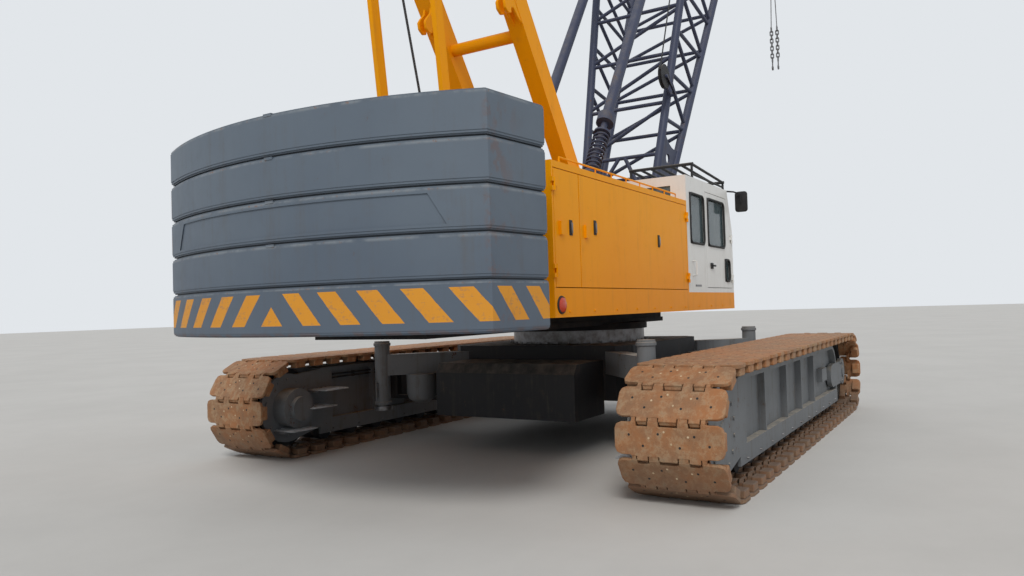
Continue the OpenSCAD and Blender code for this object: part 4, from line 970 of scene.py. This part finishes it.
@dataclass
class TrackFrameDetail:
    """Bolts, treads, nipples and pipes on one track frame.

    The wheel is the drive wheel's X and Z, and the yoke's bolts are in rows and columns.
    A reach or an out is how far a thing stands out of the frame's face. The treads' columns
    are place along and height of each step.
    """

    side: Side
    middle: float = 2.58
    half_width: float = 0.28
    wheel: Flat = (-3.085, 0.575)
    bolt_ring: float = 0.33
    bolt_count: int = 14
    bolt_radius: float = 0.019
    bolt_height: float = 0.014
    bite: float = 0.001
    yoke_xs: Flat = (2.88, 3.0)
    yoke_zs: Flat = (0.44, 0.71)
    nipple_first: float = -2.35
    nipple_pitch: float = 0.47
    nipple_count: int = 11
    nipple_z: float = 0.235
    nipple_radii: Flat = (0.012, 0.008)
    nipple_reach: Flat = (-0.002, 0.016)
    pipe_xs: Flat = (-2.45, -1.35)
    pipe_zs: Flat = (0.86, 0.90)
    pipe_out: float = -0.055
    pipe_radius: float = 0.011
    clip_xs: tuple = (-2.3, -1.9, -1.5)
    clip_out: float = -0.081
    clip_half: Flat = (0.02, 0.016)
    treads: tuple = ((-3.12, 0.305), (-2.79, 0.530), (-2.59, 0.720))
    tread_half: float = 0.185
    tread_reach: float = 0.33
    tread_start: float = -0.01
    tread_t: float = 0.012
    bar_half: float = 0.006
    bar_t: float = 0.018
    bar_short: float = 0.01
    tread_bars: int = 5
    step_t: float = 0.025

    def face(self, side: int, out: float = 0.0) -> float:
        """Y of the frame's outer (1) or inner (-1) face, moved outwards."""
        return self.side.value * (self.middle + side * (self.half_width + out))

    def bolts(self) -> Shape:
        """The ring of bolts that holds each drive plate, and two rows on the front yoke."""
        shape = Shape()
        places = [(self.wheel[0] + x, self.wheel[1] + z)
                  for x, z in circle(self.bolt_ring, self.bolt_count, 0.5)]
        places += [(x, z) for x in self.yoke_xs for z in self.yoke_zs]
        for side in (1, -1):
            shape.studs(places, self.face(side, -self.bite), self.face(side, self.bolt_height),
                        self.bolt_radius)
        return shape

    def nipples(self) -> Shape:
        """Bright grease nipples along the foot of both webs."""
        shape = Shape()
        places = [(self.nipple_first + self.nipple_pitch * i, self.nipple_z)
                  for i in range(self.nipple_count)]
        thick, thin = self.nipple_radii
        for side in (1, -1):
            y0, y1 = (self.face(side, out) for out in self.nipple_reach)
            shape.studs(places, y0, y1, thick, 8, thin)
        return shape

    def pipes(self) -> Shape:
        """Two steel pipes along the inner web with their clips."""
        shape = Shape()
        y, clip_y = self.face(-1, self.pipe_out), self.face(-1, self.clip_out)
        wide, tall = self.clip_half
        for level in self.pipe_zs:
            shape.tube([at(x, y, level) for x in self.pipe_xs], self.pipe_radius)
            for x in self.clip_xs:
                shape.block(at(x - wide, y, level - tall), at(x + wide, clip_y, level + tall))
        return shape

    def tread_plates(self) -> Shape:
        """A pale tread with raised bars on each step."""
        shape = Shape()
        y0, y1 = sorted(self.face(-1, out) for out in (self.tread_start, self.tread_reach))
        half, wide, short = self.tread_half, self.bar_half, self.bar_short
        for x, z in self.treads:
            top = z + self.step_t
            level = top + self.tread_t
            shape.block(at(x - half, y0, top - self.bite), at(x + half, y1, level), 0.003, 1)
            for i in range(self.tread_bars):
                bar = x - half + (i + 0.5) * half * 2 / self.tread_bars
                shape.block(at(bar - wide, y0 + short, level - self.bite),
                            at(bar + wide, y1 - short, top + self.bar_t))
        return shape

    def build(self) -> None:
        """Makes every piece of the track frame."""
        for shape, name, finish, slot in (
                (self.bolts(), "frame_bolts", "grey_paint", "grey_paint"),
                (self.nipples(), "frame_nipples", "bright_steel", "bright_steel"),
                (self.pipes(), "frame_pipes", "dark_paint", "dark_paint"),
                (self.tread_plates(), "step_treads", "tread_grey", "grey_paint")):
            shape.piece(f"{name}_{self.side.word}", Body.LOWER, finish, slot=slot)


@dataclass
class CarbodyDetail:
    """Bolts of the swing bearing, bands of the jacks and a cover under one jack arm.

    The profiles' columns are radius and height; the bands' radius is from the jack's.
    """

    ring_radius: float = 0.92
    ring_low: float = 1.19
    bolt_count: int = 40
    bolt_height: float = 0.035
    jack: Flat = (2.0, 1.77)
    jack_radius: float = 0.095
    band_levels: Flat = (0.505, 1.24)
    band: tuple = ((-0.002, 0.0), (0.012, 0.004), (0.012, 0.036), (-0.002, 0.040))
    cover_place: Point = (-1.66, 1.42, 0.50)
    cover: tuple = ((0.0, 0.0), (0.10, 0.015), (0.165, 0.06), (0.19, 0.13), (0.19, 0.372),
                    (0.0, 0.372))

    def build(self) -> None:
        """Makes the bolts, the bands and the cover."""
        shape = Shape()
        for x, y in circle(self.ring_radius, self.bolt_count):
            low = at(x, y, self.ring_low)
            shape.rod(low, low + Vector(UP) * self.bolt_height, 0.018, 6)
        shape.piece("bearing_bolts", Body.LOWER, "bright_steel")
        shape = Shape()
        profile = [(self.jack_radius + out, height) for out, height in self.band]
        for x, y, level in product((-1, 1), (-1, 1), self.band_levels):
            shape.turned(profile, at(x * self.jack[0], y * self.jack[1], level), UP)
        shape.piece("jack_bands", Body.LOWER, "grey_paint")
        shape = Shape()
        shape.turned(self.cover, at(*self.cover_place), UP, 40)
        shape.piece("arm_cover", Body.LOWER, "grey_paint")


@dataclass
class CabDetail:
    """Window rubber, door glass, handles, mirror and consoles of the cab.

    A pane is its lowest X and Z, then its highest. A block is two corners and a bevel; the
    console's blocks are from the console's middle line.
    """

    wall_y: float = -1.6
    rubber: float = 0.024
    stand: float = 0.012
    glass_in: float = 0.018
    glass_t: float = 0.006
    rear_pane: tuple = (0.04, 2.42, 0.62, 3.08)
    door_pane: tuple = (0.76, 2.42, 1.54, 3.08)
    low_pane: tuple = (1.50, 1.95, 1.75, 2.28)
    corner_radius: float = 0.07
    rail: tuple = ((0.10, -1.6, 2.20), (0.10, -1.65, 2.19), (0.10, -1.65, 2.02),
                   (0.10, -1.6, 2.01))
    rail_radius: float = 0.011
    latch: tuple = (((0.83, -1.616, 2.12), (0.93, -1.6, 2.20), 0.006),
                    ((0.86, -1.634, 2.15), (0.99, -1.618, 2.175), 0.006))
    bare_plate: tuple = ((0.18, -1.603, 1.875), (0.42, -1.6, 1.90), 0.001)
    arm: tuple = ((1.72, -1.52, 3.28), (1.86, -1.66, 3.27), (1.93, -1.74, 3.24),
                  (1.94, -1.74, 3.12))
    mirror_place: Point = (1.955, -1.74, 3.13)
    mirror_half: Flat = (0.09, 0.15)
    mirror_t: float = 0.035
    console_ys: Flat = (-1.40, -0.86)
    console: tuple = (((0.42, -0.055, 2.16), (0.98, 0.055, 2.36), 0.02),
                      ((0.50, -0.04, 1.86), (0.72, 0.04, 2.17), 0.0))
    lever_zs: Flat = (2.35, 2.50)
    knob_z: float = 2.49
    screen: tuple = (((1.47, -0.92, 2.42), (1.50, -0.70, 2.60), 0.008),)
    screen_post: tuple = ((1.55, -0.80, 1.86), (1.50, -0.80, 2.45))
    lever_xs: tuple = (0.80, 0.88, 0.95)
    lever_lean: float = 0.03
    knob: tuple = ((0.0, 0.0), (0.018, 0.006), (0.022, 0.026), (0.014, 0.045), (0.0, 0.050))

    def windows(self) -> None:
        """Rubber round the side windows, and the door's own panes."""
        inset, y = self.rubber / 2, self.wall_y - self.stand / 3
        door_panes = (self.door_pane, self.low_pane)
        for name, body, panes in (("cab", Body.UPPER, (self.rear_pane,)),
                                  ("door", Body.CAB_DOOR, door_panes)):
            shape = Shape()
            for x0, z0, x1, z1 in panes:
                ring = rounded_outline(x0 + inset, z0 + inset, x1 - inset, z1 - inset,
                                       self.corner_radius)
                shape.tube([at(x, y, z) for x, z in ring], self.rubber / 1.6, closed=True)
            shape.piece(f"{name}_window_rubber", body, "rubber", slot="seat_cloth")
        shape = Shape()
        y = self.wall_y + self.glass_in
        for x0, z0, x1, z1 in door_panes:
            shape.block(at(x0, y, z0), at(x1, y + self.glass_t, z1))
        shape.piece("door_glass", Body.CAB_DOOR, "cab_glazing")

    def handles(self) -> None:
        """Grab rail behind the door, door latch and a bare plate."""
        shape = Shape()
        shape.tube([at(*point) for point in self.rail], self.rail_radius, 10)
        shape.piece("cab_grab_rail", Body.UPPER, "white_paint")
        shape = Shape()
        shape.blocks(self.latch)
        shape.piece("cab_door_latch", Body.CAB_DOOR, "rubber", slot="seat_cloth")
        shape = Shape()
        low, high, bevel = self.bare_plate
        shape.block(at(*low), at(*high), bevel, 1)
        shape.piece("cab_plate", Body.UPPER, "bright_steel")

    def mirror(self) -> None:
        """The mirror on its arm ahead of the cab."""
        shape = Shape()
        shape.tube([at(*point) for point in self.arm], 0.012)
        wide, tall = self.mirror_half
        quarter = math.radians(90)
        place = (Matrix.Translation(at(*self.mirror_place)) @ Matrix.Rotation(quarter, 4, "Z")
                 @ Matrix.Rotation(quarter, 4, "X"))
        shape.plate(rounded_outline(-wide, -tall, wide, tall, 0.04), place, self.mirror_t, 0.01)
        shape.piece("cab_mirror", Body.UPPER, "rubber", slot="dark_paint")

    def consoles(self) -> None:
        """The two consoles beside the seat, with their levers, and the screen ahead of it."""
        shape = Shape()
        for y in self.console_ys:
            shape.blocks(self.console, (0.0, y, 0.0))
            for x in self.lever_xs:
                tip = x + self.lever_lean
                shape.rod(at(x, y, self.lever_zs[0]), at(tip, y, self.lever_zs[1]), 0.007, 8)
                shape.turned(self.knob, at(tip, y, self.knob_z), (0.2, 0, 1), 12)
        shape.rod(*(at(*point) for point in self.screen_post), 0.018, 10)
        shape.blocks(self.screen)
        shape.piece("cab_consoles", Body.UPPER, "dark_paint", slot="seat_cloth")

    def build(self) -> None:
        """Makes every piece of the cab."""
        self.windows()
        self.handles()
        self.mirror()
        self.consoles()


@dataclass
class HouseDetail:
    """Lamps, latches, rails and bolts of the two houses and the sill.

    The lamp's profiles have radius and height as columns, its lens first and then its
    rim. The latches' columns are X, Z and body. Their blocks, the base and then the lever,
    are two corners and a bevel, from the latch's place.
    """

    side_y: float = 1.6
    lamp: Flat = (-3.507, 1.68)
    lamp_profiles: tuple = (
        ((0.0, 0.034), (0.04, 0.031), (0.064, 0.018), (0.068, 0.006), (0.0, 0.006)),
        ((0.066, 0.0), (0.066, 0.012), (0.078, 0.010), (0.082, 0.0)))
    latches: tuple = ((-3.286, 2.376, Body.REAR_DOOR), (-2.775, 2.413, Body.SIDE_DOOR),
                      (-1.085, 2.381, Body.SIDE_DOOR))
    latch_blocks: tuple = (((-0.028, -0.008, -0.07), (0.028, 0.001, 0.07), 0.004),
                           ((-0.012, -0.022, -0.05), (0.012, -0.007, 0.045), 0.005))
    roof: float = 2.95
    rail_lift: float = 0.06
    rail_in: float = 0.05
    rail_start: float = -3.38
    rail_ends: tuple = ((Side.LEFT, 0.7), (Side.RIGHT, -0.33))
    rail_posts: int = 9
    bolt_first: float = -3.35
    bolt_pitch: float = 0.52
    bolt_count: int = 10
    bolt_z: float = 1.62

    def sill_lamps(self) -> None:
        """The round lamp on each side of the sill's rear end."""
        x, z = self.lamp
        for side in Side:
            shape = Shape()
            for finish, profile in enumerate(self.lamp_profiles):
                shape.finish = finish
                shape.turned(profile, at(x, side.value * self.side_y, z), (0, side.value, 0))
            shape.piece(f"sill_lamp_{side.word}", Body.UPPER, "lamp_red", "rubber",
                        slot="yellow_paint")

    def door_latches(self) -> None:
        """A dark latch with its lever on each right-hand door."""
        for number, (x, z, body) in enumerate(self.latches, 1):
            shape = Shape()
            for finish, block in enumerate(self.latch_blocks):
                shape.finish = finish
                shape.blocks([block], (x, -self.side_y, z))
            shape.piece(f"door_latch_{number}", body, "rubber", "bright_steel",
                        slot="dark_paint")

    def roof_rails(self) -> None:
        """A low rail on short posts along each roof's outer edge."""
        top = self.roof + self.rail_lift
        for side, last in self.rail_ends:
            y = side.value * (self.side_y - self.rail_in)
            step = (last - self.rail_start) / (self.rail_posts - 1)
            xs = [self.rail_start + i * step for i in range(self.rail_posts)]
            shape = Shape()
            shape.tube([at(xs[0], y, self.roof), at(xs[0], y, top), at(xs[-1], y, top),
                        at(xs[-1], y, self.roof)], 0.010)
            for x in xs[1:-1]:
                shape.rod(at(x, y, self.roof - 0.002), at(x, y, top), 0.008, 8)
            shape.piece(f"roof_rail_{side.word}", Body.UPPER, "yellow_paint")

    def sill_bolts(self) -> None:
        """Bolt heads along the sill."""
        places = [(self.bolt_first + self.bolt_pitch * i, self.bolt_z)
                  for i in range(self.bolt_count)]
        for side in Side:
            shape = Shape()
            y0, y1 = (side.value * (self.side_y + out) for out in (-0.002, 0.008))
            shape.studs(places, y0, y1, 0.011)
            shape.piece(f"sill_bolts_{side.word}", Body.UPPER, "yellow_paint")

    def build(self) -> None:
        """Makes every piece of the houses."""
        self.sill_lamps()
        self.door_latches()
        self.roof_rails()
        self.sill_bolts()


@dataclass
class BoomDetail:
    """Pins at the boom's joints, its guide sheave and the rope that runs along it.

    Places on the boom are how far up it they lie and how far behind its middle.
    """

    foot: Flat = (1.12, 1.90)
    lean: float = 66.2
    sides: Flat = (-0.9, 0.9)
    joints: Flat = (7.6, 19.8)
    pin_radius: float = 0.032
    pin_reach: float = 0.105
    head_reach: float = 0.093
    head_radius: float = 0.046
    sheave: Flat = (3.116, 0.817)
    sheave_y: float = -0.75
    sheave_radius: float = 0.18
    sheave_half: float = 0.028
    groove: float = 0.028
    bore: float = 0.03
    bracket: Flat = (3.066, 0.417)
    bracket_half: float = 0.042
    bracket_foot: Flat = (3.066, 0.397)
    rope: float = 0.011
    rope_middle: Point = (19.8, 1.03, -0.75)
    rope_end: Point = (26.6, 0.50, -0.25)

    @property
    def line(self) -> Slant:
        """The boom's middle line."""
        turn = math.radians(self.lean)
        foot = at(self.foot[0], 0.0, self.foot[1])
        return Slant(foot, Vector((math.cos(turn), 0.0, math.sin(turn))))

    def pins(self) -> None:
        """A headed pin through each chord at both joints."""
        shape = Shape()
        place = self.line.place
        rods = ((self.pin_reach, self.pin_radius), (self.head_reach, self.head_radius))
        for along, behind, y in product(self.joints, self.sides, self.sides):
            for reach, radius in rods:
                shape.rod(place(along, behind, y - reach), place(along, behind, y + reach),
                          radius)
        shape.piece("boom_pins", Body.BOOM, "bright_steel")

    def guide(self) -> None:
        """The small sheave behind the boom's foot section, on its bracket."""
        y, rim, wide = self.sheave_y, self.sheave_radius, self.sheave_half
        profile = ((self.bore, -wide), (rim, -wide), (rim, -wide * 0.6), (rim - self.groove, 0.0),
                   (rim, wide * 0.6), (rim, wide), (self.bore, wide))
        place = self.line.place
        shape = Shape()
        shape.turned(profile, place(*self.sheave, y), ACROSS, 40)
        shape.finish = 1
        for side in (-self.bracket_half, self.bracket_half):
            shape.tube([place(*self.bracket_foot, y + side), place(*self.sheave, y + side)],
                       0.022)
        for spot, reach in ((self.sheave, 0.06), (self.bracket, 0.12)):
            shape.rod(place(*spot, y - 0.06), place(*spot, y + reach), 0.028, 12)
        shape.piece("boom_guide_sheave", Body.BOOM, "dark_paint", "boom_paint",
                    slot="boom_paint")

    def side_rope(self) -> None:
        """The thin taut rope from the guide sheave past the middle of the boom to its head."""
        along, behind = self.sheave
        start = (along, behind + self.sheave_radius - 0.01, self.sheave_y)
        shape = Shape()
        shape.tube([self.line.place(*spot) for spot in (start, self.rope_middle, self.rope_end)],
                   self.rope)
        shape.piece("boom_side_rope", Body.BOOM, "rope_steel")

    def build(self) -> None:
        """Makes every piece of the boom."""
        self.pins()
        self.guide()
        self.side_rope()


@dataclass
class GantryDetail:
    """Pin caps, hooked plates, a pull rod and the rope down to the luffing winch.

    Places on a leg are how far up it they lie and how far behind its middle. The pins'
    columns are X, Z, the cap's place on Y and its radius.
    """

    head: Flat = (-3.9, 7.2)
    foot: Flat = (-0.88, 2.88)
    leg_y: float = 0.52
    pins: tuple = ((-3.9, 7.2, 0.635, 0.05), (-3.3, 2.28, 0.46, 0.03))
    cap_bolts: int = 4
    drum: Point = (-2.55, 2.0, 0.23)
    sheave_radius: float = 0.24
    rope: float = 0.013
    rope_y: float = 0.075
    finger: tuple = ((2.28, 0.09), (2.80, 0.09), (2.72, 0.17), (2.70, 0.27), (2.68, 0.33),
                     (2.61, 0.36), (2.54, 0.33), (2.52, 0.27), (2.57, 0.24), (2.55, 0.20),
                     (2.44, 0.17))
    finger_ys: Flat = (-0.06, 0.03)
    finger_t: float = 0.03
    pull_ends: Flat = (1.70, 3.10)
    pull_behind: float = -0.15
    eyes: tuple = (1.70, 2.20, 2.75)
    eye_ends: Flat = (-0.11, -0.17)
    ring: Flat = (2.17, -0.205)
    ring_radius: float = 0.045

    def caps(self) -> None:
        """A bolted cap on the outer end of each pin."""
        shape = Shape()
        for x, z, reach, radius in self.pins:
            for side in Side:
                y, out = side.value * reach, side.value
                bolts = circle(radius * 0.6, self.cap_bolts, 0.5)
                shape.studs([(x, z)], y - out * 0.004, y + out * 0.018, radius, 24)
                shape.studs([(x + dx, z + dz) for dx, dz in bolts], y, y + out * 0.026, 0.007)
        shape.piece("gantry_caps", Body.UPPER, "bright_steel")

    def luffing_lead(self) -> None:
        """The taut rope from the head's sheaves down to the luffing winch."""
        x, z, radius = self.drum
        shape = Shape()
        shape.tube([at(self.head[0] - self.sheave_radius, self.rope_y, self.head[1]),
                    at(x - radius - self.rope, self.rope_y, z)], self.rope)
        shape.piece("luffing_lead", Body.UPPER, "rope_steel")

    @property
    def leg(self) -> Slant:
        """The middle line of the legs, seen from the side."""
        return Slant.between(*(at(x, 0.0, z) for x, z in (self.foot, self.head)))

    def fingers(self) -> None:
        """The pair of hooked plates behind each leg."""
        leg = self.leg
        back = leg.up.cross(ACROSS)
        turn = Matrix((leg.up, back, leg.up.cross(back))).transposed().to_4x4()
        shape = Shape()
        for side in Side:
            for y in self.finger_ys:
                place = Matrix.Translation(leg.place(0.0, 0.0, side.value * self.leg_y + y))
                shape.plate(self.finger, place @ turn, self.finger_t, 0.006, 1)
        shape.piece("gantry_fingers", Body.UPPER, "yellow_paint")

    def pull_rod(self) -> None:
        """The rod on the front of the right leg, with its ring and eyes."""
        y, behind, place = -self.leg_y, self.pull_behind, self.leg.place
        shape = Shape()
        shape.tube([place(along, behind, y) for along in self.pull_ends], 0.012)
        for along in self.eyes:
            shape.tube([place(along, end, y) for end in self.eye_ends], 0.018)
        ring = place(*self.ring, y)
        shape.tube([ring + Vector((x, 0.0, z)) for x, z in circle(self.ring_radius, 16)],
                   0.009, 6, closed=True)
        shape.piece("gantry_pull_rod", Body.UPPER, "dark_paint")

    def build(self) -> None:
        """Makes every piece of the gantry."""
        self.caps()
        self.luffing_lead()
        self.fingers()
        self.pull_rod()


@dataclass
class LuffingFalls:
    """The taut ropes between gantry and bridle."""

    ys: tuple = (-0.225, -0.075, 0.075, 0.225)
    sheave_radius: float = 0.250
    rope: float = 0.013
    spare: float = 0.003

    def build(self) -> None:
        """Makes the ropes in place of the frame's bundle."""
        foot, head = centre_of("gantry_sheaves"), centre_of("stay_bridle")
        line, length = Slant.between(foot, head), (head - foot).length
        out = self.sheave_radius + self.rope + self.spare
        shape = Shape()
        for y, behind in product(self.ys, (-out, out)):
            shape.tube([line.place(along, behind, y) for along in (0.0, length)], self.rope, 12)
        piece = shape.piece("luffing_falls", Body.LUFF, "rope_steel", free=True)
        tuple(foot)
        tuple(head)
        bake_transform(piece)
        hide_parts("luffing_ropes")


@dataclass
class WinchDetail:
    """Rope wound on the three drums, whose columns are X, Z and radius."""

    drums: tuple = ((-2.55, 2.0, 0.23), (-1.65, 2.0, 0.23), (0.2, 2.0, 0.27))
    half: float = 0.505
    rope: float = 0.013
    gap: float = 0.002
    bite: float = 0.001
    steps: int = 24

    def build(self) -> None:
        """Makes one coil a drum."""
        pitch = 2 * self.rope + self.gap
        count = int(2 * self.half / pitch) * self.steps
        for number, (x, z, radius) in enumerate(self.drums, 1):
            ring = circle(radius + self.rope - self.bite, self.steps)
            path = []
            for i in range(count + 1):
                dx, dz = ring[i % self.steps]
                path.append(at(x + dx, pitch * i / self.steps - self.half, z + dz))
            shape = Shape()
            shape.tube(path, self.rope, 6)
            shape.piece(f"rope_coil_{number}", Body.UPPER, "rope_steel")


@dataclass
class Backstops:
    """Springs and collars on the two backstops, by how far from the foot they lie.
    """

    foot: Flat = (-0.88, 2.88)
    side_y: float = 0.52
    spring_start: float = 0.55
    spring_end: float = 1.25
    blend_end: float = 1.60
    spring_radius: float = 0.095
    wire: float = 0.016
    turns: int = 10
    steps: int = 16
    collars: Flat = (0.52, 1.26)
    collar_t: float = 0.03
    collar_radius: float = 0.115

    def build(self) -> None:
        """Makes the springs, along the line of the frame's rods."""
        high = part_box("backstop_rods")[1]
        line = Slant.between(at(self.foot[0], 0.0, self.foot[1]), Vector((high.x, 0.0, high.z)))
        ring = circle(self.spring_radius, self.steps)
        count = self.turns * self.steps
        rise = (self.spring_end - self.spring_start) / count
        for side in Side:
            y = side.value * self.side_y
            path = []
            for i in range(count + 1):
                across, behind = ring[i % self.steps]
                path.append(line.place(self.spring_start + rise * i, behind, y + across))
            shape = Shape()
            shape.tube(path, self.wire, 6)
            for reach in self.collars:
                shape.rod(line.place(reach, 0.0, y), line.place(reach + self.collar_t, 0.0, y),
                          self.collar_radius, 24)
            piece = shape.piece(f"stop_spring_{side.word}", Body.STOP_RODS, "boom_paint",
                                free=True)
            tuple(line.place(self.spring_start, 0.0, y))
            tuple(line.place(self.blend_end, 0.0, y))
            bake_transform(piece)


@dataclass
class Studio:
    """Pale floor, soft light and the camera at the photograph's angle."""

    frame_width: float = 1024.0
    focal_pixels: float = 786.9
    sensor: float = 36.0
    view_reach: float = 400.0
    eye: Point = (-9.635, -4.828, 1.66)
    yaw: float = 31.35
    pitch: float = 1.51
    roll: float = -1.72
    floor_size: float = 140.0
    floor_colours: tuple = (linear(196, 194, 190), linear(182, 180, 176))
    sky_colour: Colour = linear(226, 230, 234)
    sky_light: Colour = (0.93, 0.96, 1.0)
    sky_strength: float = 0.62
    sun_strength: float = 1.5
    sun_size: float = 20.0
    sun_colour: Colour = (1.0, 0.98, 0.95)
    sun_turn: Point = (38.0, -22.0, -40.0)

    def camera(self) -> None:
        """Sets the scene's camera."""
        data = bpy.data.cameras.new("photo_camera")
        data.sensor_width = self.sensor
        data.lens = self.focal_pixels / self.frame_width * self.sensor
        data.clip_end = self.view_reach
        yaw, pitch, roll = (math.radians(a) for a in (self.yaw, self.pitch, self.roll))
        ahead = Vector((math.cos(yaw) * math.cos(pitch), math.sin(yaw) * math.cos(pitch),
                        math.sin(pitch)))
        level = Vector((math.sin(yaw), -math.cos(yaw), 0.0))
        upright = level.cross(ahead)
        right = level * math.cos(roll) + upright * math.sin(roll)
        top = upright * math.cos(roll) - level * math.sin(roll)
        turn = Matrix((right, top, -ahead)).transposed().to_4x4()
        camera = added("photo_camera", data)
        camera.matrix_world = Matrix.Translation(at(*self.eye)) @ turn
        bpy.context.scene.camera = camera

    def floor(self) -> None:
        """A pale floor."""
        shape = bmesh.new()
        bmesh.ops.create_grid(shape, x_segments=1, y_segments=1, size=self.floor_size)
        mesh = bpy.data.meshes.new("floor")
        shape.to_mesh(mesh)
        shape.free()
        piece = added("floor", mesh)
        net = Net("floor_grey")
        share = net.noise(0.35, 6.0, 0.7).step(0.3, 0.7) * 0.5
        colour = net.blend(share, *self.floor_colours)
        mesh.materials.append(net.surface(Base_Color=colour, Roughness=0.9))

    def light(self) -> None:
        """A pale world that lights less than it shows, and one soft sun."""
        world = bpy.data.worlds.new("studio")
        bpy.context.scene.world = world
        tree = Tree(world)
        rays = tree.node("ShaderNodeLightPath", {}, {}).outputs
        camera, glossy, through = (Signal(tree, rays[f"Is {kind} Ray"])
                                   for kind in ("Camera", "Glossy", "Transmission"))
        seen = (camera + glossy + through).least(1.0)
        lit = tree.make("ShaderNodeBackground", {}, {0: self.sky_light, 1: self.sky_strength})
        shown = tree.make("ShaderNodeBackground", {}, {0: self.sky_colour, 1: 1.0})
        mixed = tree.make("ShaderNodeMixShader", {}, {0: seen, 1: lit, 2: shown})
        tree.node("ShaderNodeOutputWorld", {}, {0: mixed})
        data = bpy.data.lights.new("sun", "SUN")
        data.energy = self.sun_strength
        data.angle = math.radians(self.sun_size)
        data.color = self.sun_colour
        added("sun", data).rotation_euler = [math.radians(turn) for turn in self.sun_turn]


def main() -> None:
    """Builds the scene in order and reports each piece."""
    logging.basicConfig(level=logging.INFO, format="%(name)s: %(message)s")
    bpy.context.scene.view_settings.view_transform = "Standard"
    studio = Studio()
    studio.camera()
    studio.floor()
    studio.light()
    Finishes.make()
    Finishes.dress_nodes()
    for side in Side:
        Track(side).build()
        TrackFrameDetail(side).build()
    for detail in (CarbodyDetail(), CabDetail(), HouseDetail(), BoomDetail(), GantryDetail(),
                   LuffingFalls(), WinchDetail(), Backstops()):
        detail.build()


if __name__ == "__main__":
    main()
